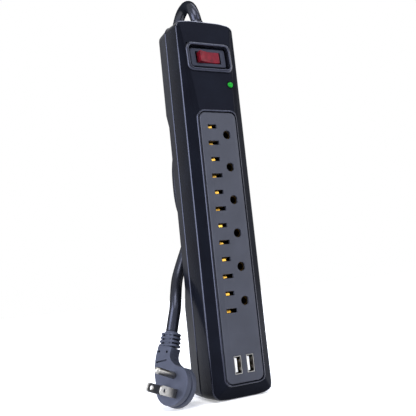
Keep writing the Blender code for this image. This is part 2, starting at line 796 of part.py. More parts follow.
def add_pin_tubes(bm, rows):
    for z in rows:
        add_rod(bm, at(PIN_X, JAW_START, z), at(PIN_X, BAR_DEPTH + BAR_THICK / 2, z), PIN_TUBE_BORE + PIN_TUBE_WALL, 14)


def make_contacts():
    reach = JAW_WIDTH / 2
    make_bar("hot_bus", HOT_BAR_X, hot_rows(), SLOT_X + reach, add_blade_jaws)
    make_bar("neutral_bus", NEUTRAL_BAR_X, neutral_rows(), SLOT_X - reach, add_blade_jaws)
    ground = make_bar("ground_bus", GROUND_BAR_X, pin_rows(), PIN_X - PIN_TUBE_BORE, add_pin_tubes)
    bm = bmesh.new()
    for z in pin_rows():
        add_rod(bm, at(PIN_X, JAW_START - GAP, z), at(PIN_X, BAR_DEPTH + 2 * BAR_THICK, z), PIN_TUBE_BORE, 14)
    combine(ground, cutter("pin_bores", bm), "DIFFERENCE")


def make_contact_tray():
    """A channel that backs the bars and bears on the ledge round the panel."""
    half = PANEL_WIDTH / 2 - LEDGE + TRAY_WALL
    floor = BAR_DEPTH + BAR_THICK + GAP
    start = PANEL_SEAT + LEDGE_THICK + 2.5 * GAP
    low, high = BAR_BOTTOM - GAP, BAR_TOP + GAP
    bm = bmesh.new()
    add_box(bm, at(-half, start, low), at(half, floor + TRAY_FLOOR, high))
    tray = part("contact_tray", bm, BLACK_NYLON)
    bm = bmesh.new()
    add_box(bm, at(-half + TRAY_WALL, start - WALL, low - WALL), at(half - TRAY_WALL, floor, high + WALL))
    combine(tray, cutter("tray_channel", bm), "DIFFERENCE")


# USB ports

def make_usb_ports():
    back = GAP + USB_DEPTH
    for side, x in usb_columns():
        bm = bmesh.new()
        half_x, half_z = USB_WIDTH / 2, USB_HEIGHT / 2
        add_box(bm, at(x - half_x, GAP, USB_Z - half_z), at(x + half_x, back, USB_Z + half_z))
        shell = part(f"usb_shell_{side}", bm, STEEL)
        in_x, in_z = half_x - USB_SHEET, half_z - USB_SHEET
        bm = bmesh.new()
        add_box(bm, at(x - in_x, -GAP, USB_Z - in_z), at(x + in_x, back + USB_SHEET, USB_Z + in_z))
        combine(shell, cutter(f"usb_bore_{side}", bm), "DIFFERENCE")

        fit_x, fit_z = in_x - GAP, in_z - GAP
        bm = bmesh.new()
        add_box(bm, at(x - fit_x, back - USB_BLOCK, USB_Z - fit_z), at(x + fit_x, back, USB_Z + fit_z))
        insert = part(f"usb_insert_{side}", bm, WHITE_NYLON)
        bm = bmesh.new()
        tip = back - USB_BLOCK - USB_TONGUE_DEPTH
        left = x - fit_x + GAP
        reach = fit_z - 2 * GAP
        add_box(bm, at(left, tip, USB_Z - reach), at(left + USB_TONGUE, back - GAP, USB_Z + reach))
        combine(insert, cutter(f"usb_tongue_{side}", bm), "UNION")


def make_usb_supply():
    face = 2 * GAP + USB_DEPTH
    rear = face + BOARD_THICK
    half = USB_BOARD_WIDTH / 2
    bm = bmesh.new()
    add_box(bm, at(-half, face, USB_BOARD_LOW), at(half, rear, USB_BOARD_HIGH))
    part("usb_board", bm, LAMINATE)
    bm = bmesh.new()
    low = at(TRANSFORMER_X, rear + GAP, USB_Z + USB_HEIGHT / 2)
    add_box(bm, low, low + Vector((TRANSFORMER_WIDTH, TRANSFORMER_DEPTH, TRANSFORMER_HEIGHT)))
    transformer = part("usb_transformer", bm, BLUE_EPOXY)
    bevel = transformer.modifiers.new("corners", "BEVEL")
    bevel.width = TRANSFORMER_BEVEL
    bevel.segments = 1
    bm = bmesh.new()
    can, top = CAPACITOR_RADIUS, CAPACITOR_HEIGHT
    add_turned(bm, [(0, top), (can - GAP, top), (can, top - GAP), (can, GAP), (0, GAP)], 14)
    stand = Matrix.Translation(at(CAPACITOR_X, rear, USB_Z - GAP)) @ Matrix.Rotation(math.radians(-90), 4, "X")
    part("usb_capacitor", bm, BLACK_VINYL, stand)
    wires = (("usb_hot_wire", HOT_BAR_X, -9.0), ("usb_neutral_wire", NEUTRAL_BAR_X, 8.0))
    bar = (BAR_DEPTH + BAR_THICK / 2) / MM
    end = (rear + GAP) / MM
    top = (BAR_BOTTOM - 2.5 * GAP) / MM
    for name, strip_x, x in wires:
        start = (strip_x + BAR_WIDTH / 2) / MM
        route = (
            (start, bar, top), (start, bar, top - 2.5), ((start + x) / 2, bar + 0.6, top - 7.0),
            (x, end + 2.5, top - 10.0), (x, end, top - 10.0),
        )
        tube(name, smooth_route(knots_of(route), WIRE), WIRE * 0.7, BLACK_VINYL, 1)


# Switch and status light

def make_switch():
    bm = bmesh.new()
    back = POCKET_DEPTH - GAP
    face = back - BEZEL_THICK
    bezel = rectangle(BEZEL_WIDTH, BEZEL_HEIGHT, BEZEL_CORNER)
    body = rectangle(SWITCH_WIDTH, SWITCH_HEIGHT, BEZEL_CORNER)
    trim = rectangle(BEZEL_WIDTH - 4 * GAP, BEZEL_HEIGHT - 4 * GAP, BEZEL_CORNER)
    add_loft(
        bm,
        plate_rings([(trim, face), (bezel, face + 2 * GAP), (bezel, back), (body, back), (body, SWITCH_DEPTH)]),
    )
    body_part = part("switch_body", bm, BLACK_NYLON, SWITCH_PLACE)

    well_height = ROCKER_HEIGHT / 2 + ROCKER_CLEAR
    bm = bmesh.new()
    add_box(bm, (-WELL_WIDTH / 2, face - WALL, -well_height), (WELL_WIDTH / 2, WELL_DEPTH, well_height))
    combine(body_part, cutter("rocker_well", bm, SWITCH_PLACE), "DIFFERENCE")
    bm = bmesh.new()
    reach = ROCKER_HEIGHT / 2 + TRUNNION_LENGTH
    socket = reach + GAP
    add_rod(bm, (0, ROCKER_PIVOT, -socket), (0, ROCKER_PIVOT, socket), TRUNNION_RADIUS + GAP, 12)
    combine(body_part, cutter("trunnion_sockets", bm, SWITCH_PLACE), "DIFFERENCE")

    half = ROCKER_WIDTH / 2
    keel = ROCKER_KEEL_WIDTH / 2
    profile = [
        (-half, -ROCKER_CROWN),
        (-half * 0.45, -ROCKER_CROWN + ROCKER_DIP * 0.75),
        (0.0, -ROCKER_CROWN + ROCKER_DIP),
        (half * 0.45, -ROCKER_CROWN + ROCKER_DIP * 0.75),
        (half, -ROCKER_CROWN),
        (half, ROCKER_SKIRT),
        (keel, ROCKER_KEEL),
        (-keel, ROCKER_KEEL),
        (-half, ROCKER_SKIRT),
    ]
    bm = bmesh.new()
    add_loft(bm, [[Vector((x, y, z)) for x, y in profile] for z in (-ROCKER_HEIGHT / 2, ROCKER_HEIGHT / 2)])
    pivot = SWITCH_PLACE @ Matrix.Translation((0, ROCKER_PIVOT, 0)) @ Matrix.Rotation(ROCKER_TILT, 4, "Z")
    rocker = part("switch_rocker", bm, RED_LENS, pivot)
    bm = bmesh.new()
    add_rod(bm, (0, 0, -reach), (0, 0, reach), TRUNNION_RADIUS, 12)
    combine(rocker, cutter("trunnions", bm, pivot), "UNION")
    axis = pivot.to_3x3() @ Vector((0, 0, 1))
    print("rocker axis", [round(v, 5) for v in axis], "at", [round(v, 6) for v in pivot.translation])

    for name, column in (("line", -1), ("load", 0), ("lamp", 1)):
        bm = bmesh.new()
        x = column * TERMINAL_PITCH
        start = SWITCH_DEPTH + GAP
        low = (x - TERMINAL_WIDTH / 2, start, -TERMINAL_THICK / 2)
        add_box(bm, low, (x + TERMINAL_WIDTH / 2, start + TERMINAL_LENGTH, TERMINAL_THICK / 2))
        part(f"switch_terminal_{name}", bm, BRASS, SWITCH_PLACE)


def make_status_light():
    """A domed lens in the ramp whose stem stands on the surge board."""
    collar = LIGHT_RADIUS + GAP + LIGHT_COLLAR
    seat = 5.2 * MM
    ramp_depth = (LIGHT_Z - PANEL_TOP) * RAMP_RISE
    foot = (SURGE_DEPTH - GAP - ramp_depth) / math.cos(RAMP_ANGLE) - LIGHT_STEM * RAMP_RISE
    dome = [
        (LIGHT_RADIUS * math.sin(math.radians(angle)), LIGHT_RISE * math.cos(math.radians(angle)))
        for angle in (0, 25, 50, 75, 90)
    ]
    rest = [
        (LIGHT_RADIUS, -seat),
        (collar, -seat),
        (collar, -seat - LIGHT_COLLAR),
        (LIGHT_STEM, -seat - LIGHT_COLLAR),
        (LIGHT_STEM, -foot),
        (0.0, -foot),
    ]
    bm = bmesh.new()
    add_turned(bm, dome + rest, 14)
    part("status_light", bm, GREEN_LENS, LIGHT_PLACE @ Matrix.Rotation(math.radians(90), 4, "X"))


# Surge board

def make_surge_board():
    rear = SURGE_DEPTH + BOARD_THICK
    half = SURGE_WIDTH / 2
    bm = bmesh.new()
    add_box(bm, at(-half, SURGE_DEPTH, SURGE_LOW), at(half, rear, SURGE_HIGH))
    part("surge_board", bm, LAMINATE)
    for number, x in enumerate(VARISTOR_X, 1):
        bm = bmesh.new()
        middle = rear + GAP + VARISTOR_RADIUS
        end = at(x + VARISTOR_THICK / 2, middle, VARISTOR_Z)
        add_rod(bm, at(x - VARISTOR_THICK / 2, middle, VARISTOR_Z), end, VARISTOR_RADIUS)
        part(f"varistor_{number}", bm, BLUE_EPOXY)
    bm = bmesh.new()
    middle = rear + GAP + FUSE_RADIUS
    add_rod(bm, at(FUSE_X, middle, FUSE_LOW), at(FUSE_X, middle, FUSE_HIGH), FUSE_RADIUS, 12)
    part("thermal_fuse", bm, WHITE_NYLON)


def make_wires():
    tip = SWITCH_DEPTH + 2 * GAP + TERMINAL_LENGTH
    line_end = [SWITCH_PLACE @ Vector((-TERMINAL_PITCH, tip + stub, 0)) for stub in (WIRE, 0.0)]
    load_start = [SWITCH_PLACE @ Vector((0.0, tip + stub, 0)) for stub in (0.0, WIRE)]
    for name, knots, material in (
        ("line_wire", knots_of(LINE_WIRE) + line_end, BLACK_VINYL),
        ("switched_wire", load_start + knots_of(SWITCHED_WIRE), BLACK_VINYL),
        ("neutral_wire", knots_of(NEUTRAL_WIRE), WHITE_VINYL),
        ("ground_wire", knots_of(GROUND_WIRE), GREEN_VINYL),
    ):
        tube(name, smooth_route(knots, 1.5 * WIRE), WIRE, material, 1)


# Mains cord

PLUG_PLACE = (
    Matrix.Translation(PLUG_AT + Vector((0, FRONT, 0)))
    @ Matrix.Rotation(PLUG_TURN, 4, "Z")
    @ Matrix.Rotation(PLUG_LEAN, 4, "X")
    @ Matrix.Rotation(PLUG_ROLL, 4, "Y")
)
PINS_PLACE = PLUG_PLACE @ Matrix.Rotation(PINS_ROLL, 4, "Y")
RELIEF_PLACE = PLUG_PLACE @ Matrix.Translation(RELIEF_AT) @ Matrix.Rotation(RELIEF_LEAN, 4, "Y")


def make_cord_bushing():
    """A strain relief let into the top end: flange inside, taper outside."""
    flange_top = LENGTH - TOP_SETBACK - WALL - 2 * GAP
    bm = bmesh.new()
    add_turned(
        bm,
        [
            (0.0, BUSHING_HIGH),
            (BUSHING_TIP, BUSHING_HIGH),
            (BUSHING_RADIUS, LENGTH),
            (BUSHING_RADIUS, flange_top),
            (BUSHING_FLANGE, flange_top),
            (BUSHING_FLANGE, flange_top - WALL),
            (BUSHING_RADIUS, flange_top - WALL),
            (BUSHING_TIP, BUSHING_LOW),
            (0.0, BUSHING_LOW),
        ],
    )
    part("cord_bushing", bm, BLACK_VINYL, Matrix.Translation(at(0, CORD_DEPTH, 0)))


def hank_points():
    """Long loops drawn in at the waist; each loop steps one layer nearer the strip along its rising run."""
    low = HANK_LOW + CORD / 2 + HANK_FOLD
    points = [at(HANK_X - HANK_FOLD, HANK_DEPTH, low + HANK_RUN + CORD)]

    def half_width(share):
        return HANK_FOLD - (HANK_FOLD - HANK_WAIST) * math.sin(math.pi * share) ** 2

    for loop in range(HANK_LOOPS):
        depth = HANK_DEPTH - loop * HANK_LAYER
        for i in range(7):
            share = 1 - i / 7
            points.append(at(HANK_X - half_width(share), depth, low + HANK_RUN * share))
        for i in range(5):
            angle = math.pi * (1 + i / 5)
            points.append(at(HANK_X + HANK_FOLD * math.cos(angle), depth, low + HANK_FOLD * math.sin(angle)))
        for i in range(7):
            share = i / 7
            climb = HANK_LAYER * share**2 * (3 - 2 * share)
            points.append(at(HANK_X + half_width(share), depth - climb, low + HANK_RUN * share))
        for i in range(5):
            angle = math.pi * i / 5
            height = low + HANK_RUN + HANK_FOLD * math.sin(angle)
            points.append(at(HANK_X + HANK_FOLD * math.cos(angle), depth - HANK_LAYER, height))
    for stub in (0.0, CORD):
        points.append(at(HANK_X - HANK_FOLD, HANK_DEPTH - HANK_LOOPS * HANK_LAYER, low + HANK_RUN - stub))
    return points


def segment_gap(a, b, c, d):
    """Least distance between two segments, read at nine points along each."""
    shares = [i / 8 for i in range(9)]
    return min((a.lerp(b, s) - c.lerp(d, t)).length for s in shares for t in shares)


def least_gap(points, diameter):
    """Least clear space between stretches of a tube that aren't neighbours."""
    pieces = list(zip(points, points[1:]))
    return min(
        segment_gap(*pieces[i], *pieces[j]) - diameter
        for i in range(len(pieces))
        for j in range(i + 4, len(pieces))
    )


def make_cord():
    lead = smooth_route(knots_of(LEAD_ROUTE), ROUTE_STEP)
    entry = [RELIEF_PLACE @ Vector((0.0, 0.0, RELIEF_LENGTH + GAP + stub)) for stub in (CORD, 0.0)]
    tail = smooth_route(knots_of(TAIL_ROUTE) + entry, ROUTE_STEP)
    hank = hank_points()
    tube("cord_lead", lead, CORD, BLACK_VINYL)
    tube("cord_hank", hank, CORD, BLACK_VINYL, 1)
    tube("cord_tail", tail, CORD, BLACK_VINYL)
    total = path_length(lead) + path_length(hank) + path_length(tail)
    print("cord length", round(total, 3), "hank least gap mm", round(least_gap(hank, CORD) / MM, 2))

    middle = HANK_LOW + CORD / 2 + HANK_FOLD + HANK_RUN / 2
    clear = CORD / 2 + GAP
    half = HANK_FOLD - (HANK_FOLD - HANK_WAIST) * math.sin(math.pi * 3 / 7) ** 2 + clear
    back = HANK_DEPTH + clear
    front = HANK_DEPTH - (HANK_LOOPS - 0.5) * HANK_LAYER - clear - GAP
    centre = FRONT + (front + back) / 2
    place = Matrix.Translation((HANK_X, centre, middle)) @ Matrix.Rotation(math.radians(90), 4, "X")
    bm = bmesh.new()
    inner = outline(half, (front - back) / 2, (back - front) / 2, clear)
    outer = outline(half + TIE_THICK, (front - back) / 2 - TIE_THICK, (back - front) / 2 + TIE_THICK, clear + TIE_THICK)
    add_loft(
        bm,
        plate_rings(
            [
                (outer, -TIE_HEIGHT / 2),
                (outer, TIE_HEIGHT / 2),
                (inner, TIE_HEIGHT / 2),
                (inner, -TIE_HEIGHT / 2),
            ]
        ),
        closed=True,
    )
    part("hank_tie", bm, BLACK_NYLON, place)


# Plug

def make_plug_body():
    """A disc turned with a groove round its edge, with a flat neck off one side that leads to the cord."""
    edge = 1.2 * MM
    bm = bmesh.new()
    add_turned(
        bm,
        [
            (0.0, PLUG_THICK),
            (PLUG_RADIUS - 2 * edge, PLUG_THICK),
            (PLUG_RADIUS, PLUG_THICK - edge),
            (PLUG_RADIUS, PLUG_THICK * 0.6),
            (PLUG_RADIUS - PLUG_GROOVE, PLUG_THICK * 0.55),
            (PLUG_RADIUS - PLUG_GROOVE, PLUG_THICK * 0.4),
            (PLUG_RADIUS - PLUG_GROOVE / 2, PLUG_THICK * 0.35),
            (PLUG_RADIUS - PLUG_GROOVE / 2, edge / 2),
            (PLUG_RADIUS - PLUG_GROOVE, 0.0),
            (0.0, 0.0),
        ],
        RIM_STEPS,
    )
    body = part("plug_body", bm, BLACK_VINYL, PLUG_PLACE @ Matrix.Rotation(math.radians(-90), 4, "X"))
    bm = bmesh.new()
    add_prism(bm, [(x * MM, z * MM) for x, z in NECK_SHAPE], GAP / 3, PLUG_NECK_THICK)
    combine(body, cutter("plug_neck", bm, PLUG_PLACE), "UNION")


def make_plug_relief():
    """Flat ribs on a core, so that the end of the plug bends with the cord."""
    core = RELIEF_CORE / 2
    bm = bmesh.new()
    add_rod(bm, (0, 0, GAP), (0, 0, RELIEF_LENGTH), core * 0.9, 12)
    relief = part("plug_strain_relief", bm, BLACK_VINYL, RELIEF_PLACE)
    pitch = (RELIEF_LENGTH - GAP - RELIEF_RIB) / (RELIEF_RIBS - 0.5)
    bm = bmesh.new()
    for i in range(RELIEF_RIBS):
        half = RELIEF_WIDTH / 2 - i * GAP
        low = GAP + i * pitch
        add_box(bm, (-half, -core, low), (half, core, low + RELIEF_RIB))
    combine(relief, cutter("relief_ribs", bm, RELIEF_PLACE), "UNION")


def make_plug_pins():
    row = PIN_UP - PIN_OFFSET
    for name, side in (("hot", -1), ("neutral", 1)):
        x = side * BLADE_PITCH / 2
        half_x, half_z = BLADE_THICK / 2, BLADE_WIDTH / 2
        tip = half_z * 0.6
        length = BLADE_LENGTH
        profile = [(-half_z, -GAP), (half_z, -GAP), (half_z, -length + 1.5 * MM), (tip, -length), (-tip, -length)]
        profile.append((-half_z, -length + 1.5 * MM))
        bm = bmesh.new()
        rings = [[Vector((x + offset, y, row + z)) for z, y in profile] for offset in (-half_x, half_x)]
        add_loft(bm, rings)
        blade = part(f"plug_blade_{name}", bm, BRASS if name == "hot" else STEEL, PINS_PLACE)
        bm = bmesh.new()
        middle = -length + BLADE_HOLE_BACK
        add_rod(bm, (x - BLADE_THICK, middle, row), (x + BLADE_THICK, middle, row), BLADE_HOLE, 12)
        combine(blade, cutter(f"blade_hole_{name}", bm, PINS_PLACE), "DIFFERENCE")
    bm = bmesh.new()
    nose = PIN_LENGTH - PIN_RADIUS
    add_turned(
        bm,
        [
            (0.0, PIN_LENGTH),
            (PIN_RADIUS * 0.5, PIN_LENGTH - PIN_RADIUS * 0.15),
            (PIN_RADIUS * 0.87, PIN_LENGTH - PIN_RADIUS * 0.5),
            (PIN_RADIUS, nose),
            (PIN_RADIUS, GAP),
            (0.0, GAP),
        ],
    )
    out = Matrix.Translation((0, 0, PIN_UP)) @ Matrix.Rotation(math.radians(90), 4, "X")
    part("plug_ground_pin", bm, STEEL, PINS_PLACE @ out)


make_front_housing()
make_rear_cover()
make_screws()
make_outlet_panel()
make_contacts()
make_contact_tray()
make_usb_ports()
make_usb_supply()
make_switch()
make_status_light()
make_surge_board()
make_wires()
make_cord_bushing()
make_cord()
make_plug_body()
make_plug_relief()
make_plug_pins()
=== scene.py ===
# %% [markdown]
# # Power strip
#
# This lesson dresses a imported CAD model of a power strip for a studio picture. The solids come from the
# frame. Here they get materials, softer edges, a few finer shapes, a cord, a floor, lights and a camera.
#
# Lengths are metres, or millimetres that are multiplied by MM where they are used. The strip stands on the
# floor, faces -Y, and its length is along Z. A "depth" is measured back from the face of the outlet panel.

# %% Load the solids
import math

import bmesh
import bpy
from mathutils import Matrix, Vector


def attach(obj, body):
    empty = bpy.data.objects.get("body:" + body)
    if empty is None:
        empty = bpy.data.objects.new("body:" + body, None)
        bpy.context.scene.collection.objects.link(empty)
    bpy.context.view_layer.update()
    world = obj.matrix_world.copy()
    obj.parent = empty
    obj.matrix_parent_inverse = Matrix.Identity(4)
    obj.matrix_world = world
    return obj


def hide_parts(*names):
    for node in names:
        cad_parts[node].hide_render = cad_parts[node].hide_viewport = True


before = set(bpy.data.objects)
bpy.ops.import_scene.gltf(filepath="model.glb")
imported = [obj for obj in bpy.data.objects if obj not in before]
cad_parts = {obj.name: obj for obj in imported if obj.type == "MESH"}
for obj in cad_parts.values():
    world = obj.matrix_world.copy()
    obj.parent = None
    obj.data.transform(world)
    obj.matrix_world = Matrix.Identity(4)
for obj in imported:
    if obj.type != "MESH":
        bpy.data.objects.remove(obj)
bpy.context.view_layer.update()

# %% [markdown]
# ## Sizes and places
#
# These repeat the values that drive the solids, so that each finer shape lands where its solid is. They
# could be measured on the solids instead, but a named value says what it is. The switch and the light stand
# on a ramp above the panel, and the plug leans against the strip, so each of these has a frame of its own.

# %% Sizes of the housing
MM = 0.001
DEPTH = 43.5 * MM
FRONT = -DEPTH / 2
SEAM = 25.5 * MM
WALL = 2.2 * MM
WIDTH, FRONT_WIDTH, LENGTH = 51.0 * MM, 50.4 * MM, 294.0 * MM
TOP_SETBACK, BOTTOM_SETBACK = 2.4 * MM, 0.2 * MM
TOP_BOW, BOTTOM_BOW, END_LAND = 2.8 * MM, 1.6 * MM, 10.0 * MM
CORNER = 6.0 * MM
FRONT_EDGE = 6.3 * MM
PANEL_WIDTH, PANEL_BOTTOM, PANEL_TOP, PANEL_CORNER = 30.8 * MM, 12.1 * MM, 215.3 * MM, 4.5 * MM
EDGE_TOP = LENGTH - TOP_SETBACK
RAMP_RISE = FRONT_EDGE / (EDGE_TOP - TOP_BOW - PANEL_TOP)
RAMP_ANGLE = math.atan(RAMP_RISE)
print("ramp leans", round(math.degrees(RAMP_ANGLE), 2), "degrees")

# %% Places of the switch, the light and the plug


def at(x, depth, z):
    """A point of the strip from its depth behind the panel's face."""
    return Vector((x, FRONT + depth, z))


def ramp_place(x, z):
    """A frame on the ramp above the panel, with -Y along its outward normal."""
    return Matrix.Translation(at(x, (z - PANEL_TOP) * RAMP_RISE, z)) @ Matrix.Rotation(-RAMP_ANGLE, 4, "X")


SWITCH_PLACE = ramp_place(0.0, 261.4 * MM)
LIGHT_PLACE = ramp_place(15.5 * MM, 238.9 * MM)
PLUG_PLACE = (
    Matrix.Translation(at(-54.2 * MM, 11.6 * MM, 18.0 * MM))
    @ Matrix.Rotation(math.radians(-62.7), 4, "Z")
    @ Matrix.Rotation(math.radians(-21.4), 4, "X")
    @ Matrix.Rotation(math.radians(-14.4), 4, "Y")
)
print("plug stands at", [round(v, 4) for v in PLUG_PLACE.translation])

# %% [markdown]
# ## Materials
#
# A strip of this kind is mostly moulded plastic, with brass, plated steel and boards inside. A finish could
# be one flat colour, but no real moulding is that even, so each finish here is built from a few noises.
#
# Colours are sRGB hex values that one function makes linear. One small function adds a node with its
# settings and its links. Patterns read Object coordinates, which are metres in the strip's own frame, so a
# noise with a scale of 1 / size repeats about once in that size.

# %% Colours and nodes


def colour(text):
    """A linear colour from sRGB hex."""
    parts = [int(text[i : i + 2], 16) / 255 for i in (0, 2, 4)]
    return (*(v / 12.92 if v <= 0.04045 else ((v + 0.055) / 1.055) ** 2.4 for v in parts), 1.0)


def set_sockets(tree, node, **values):
    """Sets inputs by name, or by _number. A value is a constant, or a (node, socket) pair to link from."""
    for key, value in values.items():
        socket = node.inputs[int(key[1:])] if key[0] == "_" else node.inputs[key.replace("_", " ")]
        if isinstance(value, tuple) and isinstance(value[0], bpy.types.Node):
            tree.links.new(value[0].outputs[value[1]], socket)
        else:
            socket.default_value = value


def new_node(tree, kind, settings=None, **values):
    made = tree.nodes.new(kind)
    for key, value in (settings or {}).items():
        setattr(made, key, value)
    set_sockets(tree, made, **values)
    return made


def new_material(name):
    material = bpy.data.materials.new(name)
    material.use_nodes = True
    tree = material.node_tree
    return material, tree, tree.nodes["Principled BSDF"]


def two_tone(tree, pattern, low, high, dark, light):
    """A colour that goes from dark to light while a pattern goes from low to high."""
    share = new_node(tree, "ShaderNodeMapRange", Value=(pattern, "Fac"), From_Min=low, From_Max=high)
    mix = new_node(
        tree, "ShaderNodeMix", {"data_type": "RGBA"}, _0=(share, "Result"), _6=colour(dark), _7=colour(light)
    )
    return (mix, 2)


print("mid grey is", round(colour("808080")[0], 3), "linear")

# %% [markdown]
# ### Plastics
#
# ABS takes the polish or the grain of its mould, and vinyl comes out satin. Three noises give that: a slow
# drift of colour, gloss that varies in patches of a few millimetres, and a fine grain as bump. The grain of
# the satin finishes is smaller than a pixel here, so it shows only as a softer highlight.

# %% Moulded plastic
# The size of the drift in colour and of the worn patches, and the height of the grain.
DRIFT, WEAR, GRAIN_HEIGHT = 22.2 * MM, 6.25 * MM, 0.06 * MM
GLOSS_LOW, GLOSS_HIGH = 0.85, 1.15


def moulded(name, dark, light, rough, grain, bump, specular=0.5, tint="ffffff"):
    """Moulded plastic, with a grain of a size in millimetres."""
    material, tree, shader = new_material(name)
    place = (new_node(tree, "ShaderNodeTexCoord"), "Object")
    drift = new_node(tree, "ShaderNodeTexNoise", Vector=place, Scale=1 / DRIFT, Detail=3.0)
    wear = new_node(tree, "ShaderNodeTexNoise", Vector=place, Scale=1 / WEAR, Detail=5.0, Roughness=0.7)
    fine = new_node(
        tree, "ShaderNodeTexNoise", Vector=place, Scale=1 / (grain * MM), Detail=2.0, Roughness=0.6
    )
    gloss = new_node(
        tree, "ShaderNodeMapRange", Value=(wear, "Fac"), To_Min=rough * GLOSS_LOW, To_Max=rough * GLOSS_HIGH
    )
    relief = new_node(
        tree, "ShaderNodeBump", Height=(fine, "Fac"), Strength=bump, Distance=GRAIN_HEIGHT
    )
    set_sockets(
        tree, shader, Base_Color=two_tone(tree, drift, 0.3, 0.7, dark, light),
        Roughness=(gloss, "Result"), Normal=(relief, "Normal"),
        Specular_IOR_Level=specular, Specular_Tint=colour(tint),
    )
    return material


# The plastics' reflections get a painted blue tint, for the bluish light of the studio.
PAINTED_BLUE_SHEEN = "d8deff"
# Polished ABS. Its flats are so dark and clear that the lamps leave no haze on them.
SHELL = moulded(
    "polished_black_abs", "0d0e13", "101218", rough=0.16, grain=2.38, bump=0.02,
    specular=0.02, tint=PAINTED_BLUE_SHEEN
)
# The same ABS on round edges. A stronger mirror draws them as thin bright lines.
RIM = moulded(
    "polished_black_abs_edge", "090a0e", "0c0d12", rough=0.22, grain=2.38, bump=0.02,
    specular=0.42, tint=PAINTED_BLUE_SHEEN
)
# Satin ABS from an etched mould. It is an even dark grey, paler only towards the light.
COVER = moulded(
    "satin_black_abs", "0f1015", "14161c", rough=0.36, grain=0.556, bump=0.15, specular=0.05, tint=PAINTED_BLUE_SHEEN
)
# Textured ABS. It is a flat mid grey with no clear reflection.
PANEL = moulded("textured_grey_abs", "2e3037", "363840", rough=0.52, grain=0.385, bump=0.30, specular=0.2)
# Satin nylon. It is dark with a soft, broad shine.
BEZEL = moulded(
    "satin_black_nylon", "1b1c21", "212329", rough=0.40, grain=0.455, bump=0.3, specular=0.2, tint=PAINTED_BLUE_SHEEN
)
# Extruded vinyl. One long highlight runs down the cord, between dull sides.
VINYL = moulded(
    "extruded_black_vinyl", "131418", "191b20", rough=0.26, grain=0.667, bump=0.14,
    specular=0.4, tint=PAINTED_BLUE_SHEEN
)
# Moulded vinyl. The plug is paler and duller than its cord.
PLUG_VINYL = moulded(
    "moulded_black_vinyl", "33363f", "3b3e48", rough=0.42, grain=0.588, bump=0.22,
    specular=0.2, tint=PAINTED_BLUE_SHEEN
)
# Moulded nylon, seen only through openings. It has little shine.
TRAY = moulded("moulded_black_nylon", "0c0c0d", "121214", rough=0.6, grain=0.5, bump=0.2)
WHITE = moulded("moulded_white_nylon", "dcdcd8", "e9e9e4", rough=0.45, grain=0.5, bump=0.15)
# Extruded vinyl on single wires. Plain colours tell them apart.
WHITE_WIRE = moulded("extruded_white_vinyl", "d2d2cc", "dededa", rough=0.45, grain=0.667, bump=0.1)
GREEN_WIRE = moulded("extruded_green_vinyl", "1d6b33", "237a3c", rough=0.45, grain=0.667, bump=0.1)
# Dipped epoxy. It is a thick coat that looks wet.
EPOXY = moulded("dipped_blue_epoxy", "1e3f7d", "27498c", rough=0.3, grain=1.25, bump=0.3)
print("plastics:", [m.name for m in (SHELL, RIM, COVER, PANEL, BEZEL, VINYL, PLUG_VINYL, TRAY, WHITE, EPOXY)])

# %% [markdown]
# ### The cord's dull sides
#
# A round black cord in a white room would get a pale rim on both sides, because every plastic mirrors more
# at a slant. Here the sides are kept dark by painted shade: Layer Weight tells how far the surface turns
# away from the eye, and the reflection fades with it. More roughness would dull the highlight as well.

# %% Dull sides
FADE_START, FADE_END = 0.2, 0.6


def dull_sides(material):
    """Fades a round skin's reflection from full where it faces the eye to none where it turns away."""
    tree = material.node_tree
    shader = tree.nodes["Principled BSDF"]
    full = shader.inputs["Specular IOR Level"].default_value
    turn = new_node(tree, "ShaderNodeLayerWeight", Blend=0.5)
    fade = new_node(
        tree, "ShaderNodeMapRange", Value=(turn, "Facing"), From_Min=FADE_START, From_Max=FADE_END,
        To_Min=full, To_Max=0.0,
    )
    set_sockets(tree, shader, Specular_IOR_Level=(fade, "Result"))
    return full


print("cord reflection:", round(dull_sides(VINYL), 2), "facing, 0 at the sides")

# %% [markdown]
# ### Metals, lenses and boards
#
# The contacts are stamped from brass sheet, and the USB shells, blades and screws are plated with nickel.
# Drawing leaves faint lines, so a noise is stretched along X. The rocker and the status light are clear
# plastic with a lamp behind, which an uneven glow shows without a lamp inside. A board is laminate with
# lacquered tracks.

# %% Metals
# The spacing of the lines before they are drawn out, the size of the tarnish, and the lines' height.
BRUSH, TARNISH, BRUSH_HEIGHT = 0.714 * MM, 5.56 * MM, 0.04 * MM


def metal(name, dark, light, rough, drawn):
    """Plated or stamped metal: faint lines drawn out along X, and tarnish in patches."""
    material, tree, shader = new_material(name)
    place = (new_node(tree, "ShaderNodeTexCoord"), "Object")
    stretch = new_node(tree, "ShaderNodeMapping", Vector=place, Scale=(drawn, 1.0, 1.0))
    lines = new_node(tree, "ShaderNodeTexNoise", Vector=(stretch, "Vector"), Scale=1 / BRUSH, Detail=2.0)
    patches = new_node(tree, "ShaderNodeTexNoise", Vector=place, Scale=1 / TARNISH, Detail=4.0)
    gloss = new_node(
        tree, "ShaderNodeMapRange", Value=(patches, "Fac"), To_Min=rough * 1.3, To_Max=rough * 0.8
    )
    relief = new_node(
        tree, "ShaderNodeBump", Height=(lines, "Fac"), Strength=0.15, Distance=BRUSH_HEIGHT
    )
    set_sockets(
        tree, shader, Base_Color=two_tone(tree, patches, 0.35, 0.65, dark, light), Metallic=1.0,
        Roughness=(gloss, "Result"), Normal=(relief, "Normal"),
    )
    return material


# Stamped brass. The leaves glow warm yellow in the dark slots.
BRASS = metal("stamped_brass", "b88a34", "e0b24e", rough=0.36, drawn=0.15)
# Brass in a dark brown, for the bars behind the holes.
DARK_BRASS = metal("aged_brass", "2c2210", "44341a", rough=0.5, drawn=0.15)
# Nickel on steel. It is a warm grey with soft, broad reflections.
STEEL = metal("nickel_plated_steel", "84827d", "9d9b96", rough=0.28, drawn=0.2)
print("metals:", BRASS.name, DARK_BRASS.name, STEEL.name)

